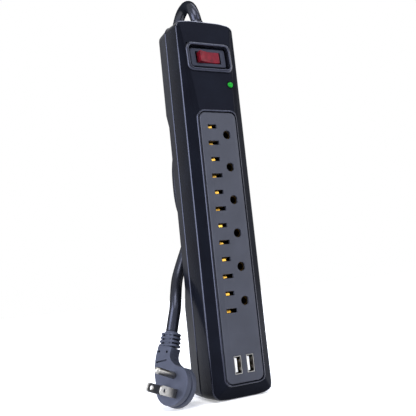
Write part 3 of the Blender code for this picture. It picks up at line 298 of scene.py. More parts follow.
# %% Lenses and boards
TRACK_PITCH = 4.55 * MM


def lit_lens(name, dark, light, glow, strength, size):
    """Clear coloured plastic with a lamp behind it, whose glow is uneven over a size in millimetres."""
    material, tree, shader = new_material(name)
    place = (new_node(tree, "ShaderNodeTexCoord"), "Object")
    cells = new_node(tree, "ShaderNodeTexNoise", Vector=place, Scale=1 / (size * MM), Detail=2.0)
    set_sockets(
        tree, shader, Base_Color=two_tone(tree, cells, 0.3, 0.7, dark, light),
        Emission_Color=two_tone(tree, cells, 0.35, 0.75, "000000", glow), Emission_Strength=strength,
        Roughness=0.4, Specular_IOR_Level=0.06, Coat_Weight=0.03, Coat_Roughness=0.1,
    )
    return material


def laminate(name):
    """Lacquered board with copper tracks showing through as paler bands."""
    material, tree, shader = new_material(name)
    tracks = new_node(
        tree, "ShaderNodeTexBrick", Vector=(new_node(tree, "ShaderNodeTexCoord"), "Object"),
        Scale=1 / TRACK_PITCH, Mortar_Size=0.03,
        Color1=colour("1d5a35"), Color2=colour("184d2d"), Mortar=colour("4f8a4a"),
    )
    set_sockets(tree, shader, Base_Color=(tracks, "Color"), Roughness=0.4)
    return material


# Red polycarbonate. The rocker is deep red with a weak glow.
RED = lit_lens("red_polycarbonate", "4c0e17", "661520", "a01826", strength=0.06, size=3.85)
# Green polycarbonate. The light is clear green, brighter in spots.
GREEN = lit_lens("green_polycarbonate", "06500f", "158a28", "1fc030", strength=0.40, size=1.11)
# Lacquered laminate. It is green with paler lines.
BOARD = laminate("green_laminate")
print("lenses and board:", RED.name, GREEN.name, BOARD.name)

# %% [markdown]
# ### Dressing the solids
#
# Each solid takes the material of the real part that it stands for. A table from material to solids is
# easier to check than one line for each solid.

# %% Dress the solids
NODE_MATERIALS = {
    SHELL: ["front_housing"],
    COVER: ["rear_cover"],
    PANEL: ["outlet_panel"],
    BEZEL: ["switch_body", "hank_tie"],
    TRAY: ["contact_tray", "usb_capacitor"],
    WHITE: ["usb_insert_left", "usb_insert_right", "thermal_fuse"],
    WHITE_WIRE: ["neutral_wire"],
    GREEN_WIRE: ["ground_wire"],
    EPOXY: ["varistor_1", "varistor_2", "varistor_3", "usb_transformer"],
    BRASS: ["switch_terminal_line", "switch_terminal_load", "switch_terminal_lamp"],
    DARK_BRASS: ["hot_bus", "neutral_bus", "ground_bus"],
    STEEL: ["usb_shell_left", "usb_shell_right", "plug_blade_hot", "plug_blade_neutral", "plug_ground_pin"],
    RED: ["switch_rocker"],
    GREEN: ["status_light"],
    BOARD: ["usb_board", "surge_board"],
    VINYL: [
        "cord_bushing", "cord_lead", "cord_hank", "cord_tail", "line_wire", "switched_wire", "usb_hot_wire",
    ],
    PLUG_VINYL: ["plug_body", "plug_strain_relief", "usb_neutral_wire"],
}
NODE_MATERIALS[STEEL] += [f"housing_screw_{i}" for i in range(1, 5)]


def dress(thing, material):
    thing.data.materials.clear()
    thing.data.materials.append(material)


for material, names in NODE_MATERIALS.items():
    for name in names:
        dress(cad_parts[name], material)
dressed = sum(len(names) for names in NODE_MATERIALS.values())
print("materials:", len(NODE_MATERIALS), "nodes dressed:", dressed, "of", len(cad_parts))

# %% [markdown]
# ## Softer edges on the solids
#
# No moulded or stamped edge is quite sharp, and its small round catches the light. A Bevel modifier on
# every sharp edge gives that and leaves the solid's own mesh alone. A solid comes in as loose triangles, so
# Weld joins them first.

# %% Soft edges
CREASE_ANGLE, WELD_REACH = math.radians(28.0), 0.01 * MM
SOFT_EDGES = {
    "rear_cover": 0.9, "switch_body": 0.3, "plug_ground_pin": 0.2, "plug_blade_hot": 0.2,
    "plug_blade_neutral": 0.2, "hank_tie": 0.4, "cord_bushing": 0.4, "usb_transformer": 0.3,
    "housing_screw_1": 0.2, "housing_screw_2": 0.2, "housing_screw_3": 0.2, "housing_screw_4": 0.2,
}


def soft_edge(thing, width, segments=3):
    bevel = thing.modifiers.new("soft_edges", "BEVEL")
    bevel.width = width
    bevel.segments = segments
    bevel.limit_method = "ANGLE"
    bevel.angle_limit = CREASE_ANGLE
    bevel.harden_normals = True


def soften(name, width, segments=3):
    """Rounds a solid's edges, with its loose triangles joined before."""
    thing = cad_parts[name]
    weld = thing.modifiers.new("weld", "WELD")
    weld.merge_threshold = WELD_REACH
    soft_edge(thing, width, segments)


for name, width in SOFT_EDGES.items():
    soften(name, width * MM)
soften("switch_rocker", 0.5 * MM, 4)
print("solids with soft edges:", len(SOFT_EDGES) + 1)

# %% [markdown]
# ## Lofting with round edges
#
# Every finer shell here is a loft. A section is a ring of points, and each point of one ring runs to the
# same point of the next. `rounded` turns each bend of that run into a small curve, which gives an edge its
# radius all the way round. A Bevel modifier could do that too, but on long curved edges it leaves uneven
# strips.

# %% Outlines


def drop(x, half, bow):
    """How far a bowed end falls back at x from its flat middle."""
    return bow * max(0.0, (abs(x) - END_LAND) / (half - END_LAND)) ** 2


def outline(half, low, high, radius, bow_low=0.0, bow_high=0.0, low_radius=None, steps=10, ends=12):
    """Points (x, z) round a rectangle with round corners and bowed ends, anticlockwise from the front."""
    low_radius = low_radius or radius
    low_z = low + drop(half - low_radius, half, bow_low) + low_radius
    high_z = high - drop(half - radius, half, bow_high) - radius
    points = []
    quarters = ((1, 1, bow_high, 0), (-1, 1, bow_high, 90), (-1, -1, bow_low, 180), (1, -1, bow_low, 270))
    for side, end, bow, first in quarters:
        edge, corner = (high, radius) if end > 0 else (low, low_radius)
        corner_x = half - corner
        centre_z = edge - end * (drop(corner_x, half, bow) + corner)
        for step in range(steps + 1):
            angle = math.radians(first + 90 * step / steps)
            points.append((side * corner_x + corner * math.cos(angle), centre_z + corner * math.sin(angle)))
        from_z, to_z = (high_z, low_z) if side < 0 else (low_z, high_z)
        for step in range(1, ends):
            share = step / ends
            if side == end:
                x = side * corner_x * (1 - 2 * step / ends)
                points.append((x, edge - end * drop(x, half, bow)))
            else:
                points.append((side * half, from_z + (to_z - from_z) * share))
    return points


print("points in an outline:", len(outline(WIDTH / 2, 0, LENGTH, CORNER, BOTTOM_BOW, TOP_BOW)))

# %% Lofts
CURVE_STEPS, REACH_SHARE = 5, 0.49


def bend(start, corner, end, t):
    """The point at t of a curve that leaves start and reaches end as if to meet at corner."""
    return start * (1 - t) ** 2 + corner * 2 * t * (1 - t) + end * t**2


def rounded(run, radii):
    """A run of points with a curve at each inner bend that starts a radius before it. 0 keeps the bend."""
    points = [run[0]]
    for before, corner, after, radius in zip(run, run[1:], run[2:], radii):
        if not radius:
            points.append(corner)
            continue
        reach_in = min(radius, (before - corner).length * REACH_SHARE)
        reach_out = min(radius, (after - corner).length * REACH_SHARE)
        start = corner + (before - corner).normalized() * reach_in
        end = corner + (after - corner).normalized() * reach_out
        points += [bend(start, corner, end, step / CURVE_STEPS) for step in range(CURVE_STEPS + 1)]
    points.append(run[-1])
    return points


def add_loft(bm, rings, radii, closed):
    """Skins rings whose bends are rounded. Closed joins last to first; else both ends are capped."""
    runs = [rounded([ring[i] for ring in rings], radii) for i in range(len(rings[0]))]
    grid = [[bm.verts.new(point) for point in run] for run in runs]
    length = len(grid[0])
    for one, other in zip(grid, grid[1:] + grid[:1]):
        for k in range(length if closed else length - 1):
            j = (k + 1) % length
            bm.faces.new((one[k], other[k], other[j], one[j]))
    if not closed:
        bm.faces.new([run[0] for run in grid])
        bm.faces.new([run[-1] for run in grid])
    bmesh.ops.recalc_face_normals(bm, faces=bm.faces)


corner_run = [Vector((1, 0, 0)), Vector((0, 0, 0)), Vector((0, 1, 0))]
print("points in a round bend:", len(rounded(corner_run, [0.4])))

# %% [markdown]
# ## Pieces and cuts
#
# A finished piece is an object at the origin with its place in its mesh, as a solid is, so that patterns
# stay where they are when a body moves. It gets a material, the body that it rides on, and the solids that
# it stands for. Openings are cut with a Boolean, whose result is baked into the mesh at once.

# %% Pieces
SHARP_ANGLE = math.radians(38)


def shade(mesh):
    mesh.shade_smooth()
    mesh.set_sharp_from_angle(angle=SHARP_ANGLE)


def add_object(name, data):
    made = bpy.data.objects.new(name, data)
    bpy.context.scene.collection.objects.link(made)
    return made


def piece(name, bm):
    """A smooth-shaded object at the origin."""
    mesh = bpy.data.meshes.new(name)
    bm.to_mesh(mesh)
    bm.free()
    shade(mesh)
    return add_object(name, mesh)


def loft(name, rings, radii, closed):
    bm = bmesh.new()
    add_loft(bm, rings, radii, closed)
    return piece(name, bm)


def keep(thing, material, body="strip", replaces=()):
    """Gives a piece its material, its body and the solid it stands for."""
    dress(thing, material)
    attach(thing, body)
    if replaces:
        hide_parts(*replaces)
    return thing


print("edges sharper than", round(math.degrees(SHARP_ANGLE)), "degrees stay sharp")

# %% Boxes, rods and cuts


def add_box(bm, low, high, place=None):
    low, high = Vector(low), Vector(high)
    matrix = Matrix.Translation((low + high) / 2) @ Matrix.Diagonal((*(high - low), 1.0))
    bmesh.ops.create_cube(bm, size=1.0, matrix=place @ matrix if place else matrix)


def add_rod(bm, start, end, radius, segments=32, place=None):
    start, end = Vector(start), Vector(end)
    turn = Vector((0, 0, 1)).rotation_difference(end - start).to_matrix().to_4x4()
    matrix = Matrix.Translation((start + end) / 2) @ turn
    bmesh.ops.create_cone(
        bm, cap_ends=True, segments=segments, radius1=radius, radius2=radius, depth=(end - start).length,
        matrix=place @ matrix if place else matrix,
    )


def bake(thing):
    """Applies a thing's modifiers to its mesh."""
    graph = bpy.context.evaluated_depsgraph_get()
    mesh = bpy.data.meshes.new_from_object(thing.evaluated_get(graph))
    thing.modifiers.clear()
    old = thing.data
    thing.data = mesh
    bpy.data.meshes.remove(old)
    shade(mesh)


def carve(thing, bm):
    """Cuts a set of solids away from a piece, and tells how many faces are left."""
    tool = piece(thing.name + "_cut", bm)
    cut = thing.modifiers.new("cut", "BOOLEAN")
    cut.operation = "DIFFERENCE"
    cut.solver = "EXACT"
    cut.object = tool
    bake(thing)
    bpy.data.objects.remove(tool)
    return len(thing.data.polygons)


print("tools:", [tool.__name__ for tool in (add_box, add_rod, bake, carve)])

# %% [markdown]
# ## Front shell
#
# The front half is moulded in one piece. It rises as a hipped roof round the panel, with a long ramp above
# it for the switch. The solid has this form with sharp edges. Here it is one loft from the seam over the
# front edge to the panel's ledge and back inside, so that the edge and the lip round the panel get even
# radii.

# %% Rings of the shell
LOW_CORNER, LOW_EDGE_BOW = 8.0 * MM, 2.6 * MM


def roof(x, z):
    """Depth of the hipped front: the deepest of the side bevels, the long top ramp and the bottom bevel."""
    side = (abs(x) - PANEL_WIDTH / 2) * FRONT_EDGE / ((FRONT_WIDTH - PANEL_WIDTH) / 2)
    top = (z - PANEL_TOP) * RAMP_RISE
    bottom = (PANEL_BOTTOM - z) * FRONT_EDGE / (PANEL_BOTTOM - BOTTOM_SETBACK - BOTTOM_BOW)
    return max(0.0, side, top, bottom)


def seam_ring(inset, depth):
    points = outline(WIDTH / 2 - inset, inset, LENGTH - inset, CORNER - inset, BOTTOM_BOW, TOP_BOW)
    return [at(x, depth, z) for x, z in points]


def edge_ring(inset, extra):
    low, high = BOTTOM_SETBACK + inset, EDGE_TOP - inset
    half, corner, low_corner = FRONT_WIDTH / 2 - inset, CORNER - inset, LOW_CORNER - inset
    points = outline(half, low, high, corner, LOW_EDGE_BOW, TOP_BOW, low_corner)
    return [at(x, roof(x, z) + extra, z) for x, z in points]


def panel_ring(grow, depth=None):
    """A ring round the panel, at a depth or else on the roof."""
    points = outline(PANEL_WIDTH / 2 + grow, PANEL_BOTTOM - grow, PANEL_TOP + grow, PANEL_CORNER + grow)
    return [at(x, roof(x, z) if depth is None else depth, z) for x, z in points]


print("the roof is", round(roof(FRONT_WIDTH / 2, LENGTH / 2) / MM, 2), "mm deep at its sides")

# %% Front shell
LIP, LEDGE, SEAT = 0.75 * MM, 2.2 * MM, 2.3 * MM
EDGE_ROUND, EDGE_FLAT, LIP_ROUND, LIP_FLAT = 1.3 * MM, 2.8 * MM, 0.7 * MM, 1.6 * MM
shell = loft(
    "front_shell",
    [
        seam_ring(WALL, SEAM),
        seam_ring(0.0, SEAM),
        edge_ring(0.0, 0.0),
        edge_ring(EDGE_FLAT, 0.0),
        panel_ring(LIP + LIP_FLAT),
        panel_ring(LIP),
        panel_ring(LIP, SEAT),
        panel_ring(-LEDGE, SEAT),
        panel_ring(-LEDGE, SEAT + LEDGE),
        edge_ring(WALL, WALL * 1.1),
    ],
    [0.2 * MM, EDGE_ROUND, 0.0, 0.0, LIP_ROUND, 0.1 * MM, 0.1 * MM, 0.2 * MM],
    closed=True,
)
print("front shell faces:", len(shell.data.polygons))

# %% Openings of the shell
# Each cut starts clear of the surface and ends behind the wall.
SWITCH_LOW, SWITCH_HIGH = (-18.4 * MM, -4 * MM, -11.3 * MM), (18.4 * MM, 9 * MM, 11.3 * MM)
LIGHT_RADIUS, LIGHT_START, LIGHT_END = 2.5 * MM, (0, -3 * MM, 0), (0, 7 * MM, 0)
CORD_HOLE_RADIUS, CORD_HOLE_DEPTH = 6.1 * MM, 18.5 * MM
CORD_HOLE_LOW, CORD_HOLE_HIGH = LENGTH - 8 * MM, LENGTH + 4 * MM
openings = bmesh.new()
add_box(openings, SWITCH_LOW, SWITCH_HIGH, SWITCH_PLACE)
add_rod(openings, LIGHT_START, LIGHT_END, LIGHT_RADIUS, place=LIGHT_PLACE)
cord_hole = [at(0, CORD_HOLE_DEPTH, z) for z in (CORD_HOLE_LOW, CORD_HOLE_HIGH)]
add_rod(openings, *cord_hole, CORD_HOLE_RADIUS)
print("front shell faces with its openings:", carve(shell, openings))
keep(shell, SHELL, replaces=("front_housing",))

# %% [markdown]
# ## Edges that catch the light
#
# Three rounded edges draw bright lines on the real strip: the rim of the rear cover at the seam, the front
# edge of the shell, and the lip round the panel. They could be one material with more shine on its edges,
# but on long triangles that spreads over the flats. So each is a thin bead of its own, laid along the edge
# that it follows.

# %% Seam band
BAND = 25.55 * MM
# How far each ring stands out and how far back it lies, in millimetres.
BAND_PROFILE = ((-0.6, 0.0), (0.03, 0.0), (0.42, 0.4), (0.02, 1.0), (-0.6, 1.2))


def band_ring(grow, depth):
    """A ring round the seam, which doesn't grow below the floor."""
    points = outline(WIDTH / 2 + grow, 0.0, LENGTH + grow, CORNER + grow, BOTTOM_BOW, TOP_BOW)
    return [at(x, depth, z) for x, z in points]


band_rings = [band_ring(grow * MM, BAND + back * MM) for grow, back in BAND_PROFILE]
band = keep(loft("seam_band", band_rings, [0.0] * 3, closed=True), RIM)
print("seam band faces:", len(band.data.polygons))

# %% Edge bead
BEAD_LIFT, BEAD_ROOT, BEAD_SHARES = 0.03 * MM, -0.35 * MM, (0.2, 0.35, 0.5, 0.65, 0.8)


def round_ring(share, lift):
    """A ring that share of the way over the round of the shell's front edge."""
    points = []
    for a, b, c in zip(seam_ring(0.0, SEAM), edge_ring(0.0, 0.0), edge_ring(EDGE_FLAT, 0.0)):
        start, end = b + (a - b).normalized() * EDGE_ROUND, b + (c - b).normalized() * EDGE_ROUND
        point = bend(start, b, end, share)
        points.append(point + (b - point).normalized() * lift)
    return points


bead_rings = [round_ring(0.5, BEAD_ROOT), *(round_ring(share, BEAD_LIFT) for share in BEAD_SHARES)]
bead = keep(loft("edge_bead", bead_rings, [0.0] * 4, closed=True), RIM)
print("edge bead faces:", len(bead.data.polygons))

# %% Panel lip
# How far each ring lies outside the lip and how far it stands off the roof, in millimetres.
LIP_PROFILE = ((1.4, -0.4), (1.3, 0.0), (0.9, 0.32), (0.45, 0.32), (0.06, 0.0), (0.06, -0.6))
lip_rings = []
for grow, lift in LIP_PROFILE:
    lip_rings.append([point + Vector((0, -lift * MM, 0)) for point in panel_ring(LIP + grow * MM)])
lip = loft("panel_lip", lip_rings, [0.0, 0.25 * MM, 0.25 * MM, 0.0], closed=True)
keep(lip, RIM)
print("panel lip faces:", len(lip.data.polygons))

# %% [markdown]
# ## Switch guard
#
# A thick round rim stands on the ramp, so that nothing can knock the switch. Its inner wall slopes down to
# a flat floor round the switch. A small collar stands round the status light. Both are lofts of rounded
# rectangles in the ramp's own frame, because a plain bevel can't give the rim its broad, slightly tilted
# crest.

# %% Guard and collar
GUARD_DROP = 0.6 * MM
# Outer wall, crest, inner wall and floor, each ring as (width, height, corner radius, depth) in millimetres.
GUARD_PROFILE = (
    (39.4, 24.4, 5.6, 5.2), (39.4, 24.4, 5.6, -0.5), (38.0, 23.0, 5.2, -1.6), (34.8, 19.8, 3.8, -2.0),
    (33.6, 18.6, 3.2, -0.3), (32.4, 17.6, 2.2, 3.3), (27.4, 14.2, 1.6, 3.3), (27.4, 14.2, 1.6, 5.2),
)
COLLAR_PROFILE = (
    (6.8, 6.8, 3.4, 1.0), (6.8, 6.8, 3.4, -0.4), (5.2, 5.2, 2.6, -0.4), (5.2, 5.2, 2.6, 1.0),
)


def ramp_rings(profile, place):
    """Rings of a profile in a frame on the ramp."""
    rings = []
    for width, height, radius, depth in profile:
        points = outline(width / 2 * MM, -height / 2 * MM, height / 2 * MM, radius * MM, steps=8, ends=6)
        rings.append([place @ Vector((x, depth * MM, z)) for x, z in points])
    return rings


guard_rings = ramp_rings(GUARD_PROFILE, SWITCH_PLACE @ Matrix.Translation((0, 0, -GUARD_DROP)))
guard_radii = [0.7 * MM, 0.6 * MM, 0.6 * MM, 0.9 * MM, 0.5 * MM, 0.15 * MM]
guard = keep(loft("switch_guard", guard_rings, guard_radii, closed=True), RIM)
collar_rings = ramp_rings(COLLAR_PROFILE, LIGHT_PLACE)
collar = loft("light_collar", collar_rings, [0.35 * MM, 0.35 * MM], closed=True)
keep(collar, SHELL)
print("guard faces:", len(guard.data.polygons), "collar faces:", len(collar.data.polygons))

# %% [markdown]
# ## Outlet panel
#
# The grey plate has a pair of slots and a round hole with a flat side for each outlet. The solid's openings
# are a little smaller than the real ones look, so a copy of its mesh is merged and cut again with larger
# ones. New cuts keep the rest of the plate as it is, with its rim and its USB openings.

# %% Panel plate
OUTLETS, OUTLET_PITCH, BLADE_PITCH, FIRST_SLOT_Z = 6, 25.4 * MM, 12.7 * MM, 204.0 * MM
SLOT_X, SLOT_HEIGHT, HOT_SLOT, NEUTRAL_SLOT = -5.7 * MM, 3.3 * MM, 7.4 * MM, 9.0 * MM
PIN_X, PIN_RADIUS, PIN_FLAT, PIN_STEPS = 6.4 * MM, 3.5 * MM, 2.95 * MM, 32
CUT_FROM, CUT_TO = -1 * MM, 3 * MM


def pin_hole(z, depth):
    """A ring of the round hole, with a flat on its right side."""
    meet = math.acos(PIN_FLAT / PIN_RADIUS)
    turns = [meet + (2 * math.pi - 2 * meet) * i / PIN_STEPS for i in range(PIN_STEPS + 1)]
    return [at(PIN_X + PIN_RADIUS * math.cos(t), depth, z + PIN_RADIUS * math.sin(t)) for t in turns]


plate_bm = bmesh.new()
plate_bm.from_mesh(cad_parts["outlet_panel"].data)
bmesh.ops.remove_doubles(plate_bm, verts=plate_bm.verts, dist=WELD_REACH)
plate = piece("panel_plate", plate_bm)
openings = bmesh.new()
for outlet in range(OUTLETS):
    row = FIRST_SLOT_Z - outlet * OUTLET_PITCH
    for z, width in ((row, HOT_SLOT), (row - BLADE_PITCH, NEUTRAL_SLOT)):
        low, high = z - SLOT_HEIGHT / 2, z + SLOT_HEIGHT / 2
        add_box(openings, at(SLOT_X - width / 2, CUT_FROM, low), at(SLOT_X + width / 2, CUT_TO, high))
    middle = row - BLADE_PITCH / 2
    add_loft(openings, [pin_hole(middle, CUT_FROM), pin_hole(middle, CUT_TO)], [], closed=False)
print("panel faces with larger openings:", carve(plate, openings))
soft_edge(plate, 0.22 * MM)
keep(plate, PANEL, replaces=("outlet_panel",))

# %% [markdown]
# ## Contacts seen through the panel
#
# A bent brass leaf shows in the left half of each slot, and the leaves of the wider slots lie deeper. They
# repeat at the outlets' pitch, so one leaf of each kind is modelled and Geometry Nodes sets it along a
# line. The count, the start and the step are inputs of the tree. Copies made in a loop would work too, but
# here a new pitch is one number.

# %% Copies along a line


def repeat(name, master, count, start, step, material):
    """Sets copies of a master mesh along a line with Geometry Nodes, and keeps the result as a mesh."""
    tree = bpy.data.node_groups.new(name, "GeometryNodeTree")
    tree.interface.new_socket("Geometry", in_out="OUTPUT", socket_type="NodeSocketGeometry")
    inputs = {}
    for label, kind, value in (("Count", "Int", count), ("Start", "Vector", start), ("Step", "Vector", step)):
        socket = tree.interface.new_socket(label, in_out="INPUT", socket_type="NodeSocket" + kind)
        inputs[socket.identifier] = value
    given = tree.nodes.new("NodeGroupInput")
    line = new_node(
        tree, "GeometryNodeMeshLine", {"mode": "OFFSET"},
        Count=(given, "Count"), Start_Location=(given, "Start"), Offset=(given, "Step"),
    )
    source = new_node(tree, "GeometryNodeObjectInfo", Object=master)
    copies = new_node(
        tree, "GeometryNodeInstanceOnPoints", Points=(line, "Mesh"), Instance=(source, "Geometry")
    )
    real = new_node(tree, "GeometryNodeRealizeInstances", Geometry=(copies, "Instances"))
    coat = new_node(tree, "GeometryNodeSetMaterial", Geometry=(real, "Geometry"), Material=material)
    new_node(tree, "NodeGroupOutput", Geometry=(coat, "Geometry"))
    made = add_object(name, bpy.data.meshes.new(name))
    setup = made.modifiers.new("repeat", "NODES")
    setup.node_group = tree
    for identifier, value in inputs.items():
        setup[identifier] = value
    bake(made)
    bpy.data.objects.remove(master)
    return made


def add_strip(bm, path, low, high, thick):
    """A sheet strip that follows (a, b) points of the XY plane, between two heights."""
    left, right = [], []
    for i, point in enumerate(path):
        before, after = path[max(0, i - 1)], path[min(len(path) - 1, i + 1)]
        along = (Vector(after) - Vector(before)).normalized()
        side = Vector((-along.y, along.x)) * thick / 2
        left.append(Vector(point) + side)
        right.append(Vector(point) - side)
    corners = left + right[::-1]
    loops = [[bm.verts.new((*corner, z)) for corner in corners] for z in (low, high)]
    for i in range(len(corners)):
        j = (i + 1) % len(corners)
        bm.faces.new((loops[0][i], loops[0][j], loops[1][j], loops[1][i]))
    bm.faces.new(loops[0])
    bm.faces.new(loops[1])
    bmesh.ops.recalc_face_normals(bm, faces=bm.faces)


print("outlets:", OUTLETS, "at a pitch of", round(OUTLET_PITCH / MM, 1), "mm")

# %% Contact leaves
TIP_LEAN, TIP_TURN, TIP_HALF = math.radians(-22), math.radians(-8), Vector((1.4, 0.17, 0.9)) * MM
TIP_X, TIP_Z = -1.6 * MM, -0.5 * MM
LEAF_PATH = ((-0.8, 0.2), (-0.55, 1.4), (-0.7, 4.0), (-1.4, 6.5), (-2.4, 9.0))
LEAF_LOW, LEAF_HIGH, LEAF_SHEET = -0.8 * MM, 0.5 * MM, 0.35 * MM


def leaf(depth):
    """A spring leaf with a flat tip that leans up, and a tail that goes back into the slot."""
    bm = bmesh.new()
    lean = Matrix.Rotation(TIP_LEAN, 4, "X") @ Matrix.Rotation(TIP_TURN, 4, "Z")
    add_box(bm, -TIP_HALF, TIP_HALF, Matrix.Translation((TIP_X, depth, TIP_Z)) @ lean)
    path = [(x * MM, depth + y * MM) for x, y in LEAF_PATH]
    add_strip(bm, path, LEAF_LOW, LEAF_HIGH, LEAF_SHEET)
    return piece("leaf", bm)


for name, depth, below in (("hot_leaves", 1.0 * MM, 0.0), ("neutral_leaves", 2.4 * MM, BLADE_PITCH)):
    start = at(SLOT_X, 0, FIRST_SLOT_Z - below)
    leaves = repeat(name, leaf(depth), OUTLETS, start, (0.0, 0.0, -OUTLET_PITCH), BRASS)
    keep(leaves, BRASS)
    print(name, "faces:", len(leaves.data.polygons))

# %% [markdown]
# ## Inside the USB ports
#
# Four contacts lie along each tongue, and two springs are pressed out of each shell's right wall. Both are
# seen only as small bright marks, so a few plain faces are enough. The same tree sets them in both ports.

# %% USB contacts and springs
PORT_X, PORT_Z = 5.2 * MM, 25.0 * MM
CONTACT_ROWS, CONTACT_HALF, CONTACT_SPAN = (-3.5, -1.2, 1.2, 3.5), 0.55, (2.6 * MM, 10.0 * MM)
CONTACT_ROOT, CONTACT_FACE = -0.05 * MM, 0.12 * MM
SPRING_ROWS, SPRING_HALF, SPRING_SHEET = (-3.0, 3.0), 1.1, 0.25 * MM
SPRING_PATH = ((2.5, 1.4), (2.2, 2.2), (1.5, 4.4), (1.4, 5.4), (1.9, 7.2), (2.5, 9.0))
first_port, next_port = at(-PORT_X, 0, PORT_Z), (2 * PORT_X, 0.0, 0.0)
bm = bmesh.new()
for z in CONTACT_ROWS:
    low, high = (z - CONTACT_HALF) * MM, (z + CONTACT_HALF) * MM
    add_box(bm, (CONTACT_ROOT, CONTACT_SPAN[0], low), (CONTACT_FACE, CONTACT_SPAN[1], high))
contacts = repeat("usb_contacts", piece("contact", bm), 2, first_port, next_port, BRASS)
keep(contacts, BRASS)
bm = bmesh.new()
for z in SPRING_ROWS:
    path = [(x * MM, y * MM) for x, y in SPRING_PATH]
    add_strip(bm, path, (z - SPRING_HALF) * MM, (z + SPRING_HALF) * MM, SPRING_SHEET)
springs = repeat("usb_springs", piece("spring", bm), 2, first_port, next_port, STEEL)
keep(springs, STEEL)
print("contact faces:", len(contacts.data.polygons), "spring faces:", len(springs.data.polygons))

# %% [markdown]
# ## Cord
#
# The cord is one round vinyl tube. It leaves the top end, arches back and goes down behind the strip into a
# tied hank. From there it comes round the left side to the plug. A curve with a round bevel keeps it one
# thickness all the way, which a loft would not at its tight folds. Its route is that of the solids, with
# the arch and the last bend moved by up to about 3 mm to lie as the real ones do.

# %% Route of the cord
CORD = 9.0 * MM
HANK_X, HANK_DEPTH, HANK_FOLD, HANK_RUN = 18.0 * MM, 68.5 * MM, 26.0 * MM, 130.0 * MM
HANK_LAYER, HANK_WAIST, HANK_LOOPS, HANK_STEPS = 9.6 * MM, 4.4 * MM, 2, 10
FLOOR_GAP = 0.5 * MM
HANK_LOW = FLOOR_GAP + CORD / 2 + HANK_FOLD
# Knots as (x, depth, z) in millimetres: from the bushing to the hank, and from the hank to the plug.
LEAD = (
    (0.0, 18.5, 297.3), (-0.7, 18.9, 301.6), (-1.1, 20.8, 306.8), (-0.7, 25.1, 312.4), (0.3, 32.4, 316.9),
    (1.6, 42.0, 319.0), (3.0, 53.4, 317.9), (4.2, 63.9, 312.0), (5.4, 70.8, 302.0), (6.3, 73.2, 290.0),
    (6.7, 74.0, 274.0), (5.3, 73.6, 254.0), (2.2, 72.2, 232.0), (-2.6, 70.2, 209.0), (-6.6, 68.8, 191.0),
    (-8.0, 68.5, 179.3),
)
TAIL = (
    (-8.0, 49.3, 142.7), (-9.9, 49.8, 131.0), (-14.0, 50.2, 117.5), (-19.8, 50.0, 105.0), (-26.9, 46.0, 92.0),
    (-32.9, 37.8, 80.3), (-36.3, 33.3, 70.4),
)


def route_points(route):
    return [at(x * MM, depth * MM, z * MM) for x, depth, z in route]


def hank_half(share):
    return HANK_FOLD - (HANK_FOLD - HANK_WAIST) * math.sin(math.pi * share) ** 2


def hank_knots():
    """Long loops drawn in at the waist; each steps one layer nearer the strip along its rising run."""
    points = []
    shares = [i / HANK_STEPS for i in range(HANK_STEPS)]
    for loop in range(HANK_LOOPS):
        depth = HANK_DEPTH - loop * HANK_LAYER
        for share in shares:
            left = HANK_X - hank_half(1 - share)
            points.append(at(left, depth, HANK_LOW + HANK_RUN * (1 - share)))
        for share in shares:
            angle = math.pi * (1 + share)
            low = HANK_LOW + HANK_FOLD * math.sin(angle)
            points.append(at(HANK_X + HANK_FOLD * math.cos(angle), depth, low))
        for share in shares:
            climb = HANK_LAYER * share**2 * (3 - 2 * share)
            points.append(at(HANK_X + hank_half(share), depth - climb, HANK_LOW + HANK_RUN * share))
        for share in shares:
            angle = math.pi * share
            height = HANK_LOW + HANK_RUN + HANK_FOLD * math.sin(angle)
            points.append(at(HANK_X + HANK_FOLD * math.cos(angle), depth - HANK_LAYER, height))
    points.append(at(HANK_X - HANK_FOLD, HANK_DEPTH - HANK_LOOPS * HANK_LAYER, HANK_LOW + HANK_RUN))
    return points


print("knots of the hank:", len(hank_knots()))

# %% Cord
RELIEF_PLACE = (
    PLUG_PLACE
    @ Matrix.Translation(Vector((-4.2, 5.25, 29.5)) * MM)
    @ Matrix.Rotation(math.radians(14.5), 4, "Y")
)
CORD_ENTRY = 12.3 * MM


def smooth(knots, pieces=4):
    """Points on a Catmull-Rom curve through the knots."""
    padded = [knots[0] * 2 - knots[1], *knots, knots[-1] * 2 - knots[-2]]
    points = []
    for a, b, c, d in zip(padded, padded[1:], padded[2:], padded[3:]):
        square, cube = 2 * a - 5 * b + 4 * c - d, 3 * b - a - 3 * c + d
        for i in range(pieces):
            t = i / pieces
            points.append(0.5 * (2 * b + (c - a) * t + square * t**2 + cube * t**3))
    return [*points, knots[-1]]


entry = [RELIEF_PLACE @ Vector((0, 0, CORD_ENTRY + stub)) for stub in (CORD, 0.0)]
cord_points = smooth([*route_points(LEAD), *hank_knots(), *route_points(TAIL), *entry])
curve = bpy.data.curves.new("mains_cord", "CURVE")
curve.dimensions = "3D"
curve.bevel_depth = CORD / 2
curve.bevel_resolution = 6
curve.use_fill_caps = True
spline = curve.splines.new("POLY")
spline.points.add(len(cord_points) - 1)
for knot, point in zip(spline.points, cord_points):
    knot.co = (*point, 1.0)
spline.use_smooth = True
cord = add_object("mains_cord", curve)
keep(cord, VINYL, replaces=("cord_lead", "cord_hank", "cord_tail"))

# %% [markdown]
# ## Plug
#
# The plug is a flat vinyl disc with a groove round its edge. A neck leaves one side of it, with the same
# face, and ends in ribs that bend with the cord. Two dots and a slit are moulded into the neck. Disc and
# neck share one outline, so they are one loft, and the groove is a step in it. The ribs get narrower
# towards the cord, so each is a small loft of its own, on a core round the cord's end.

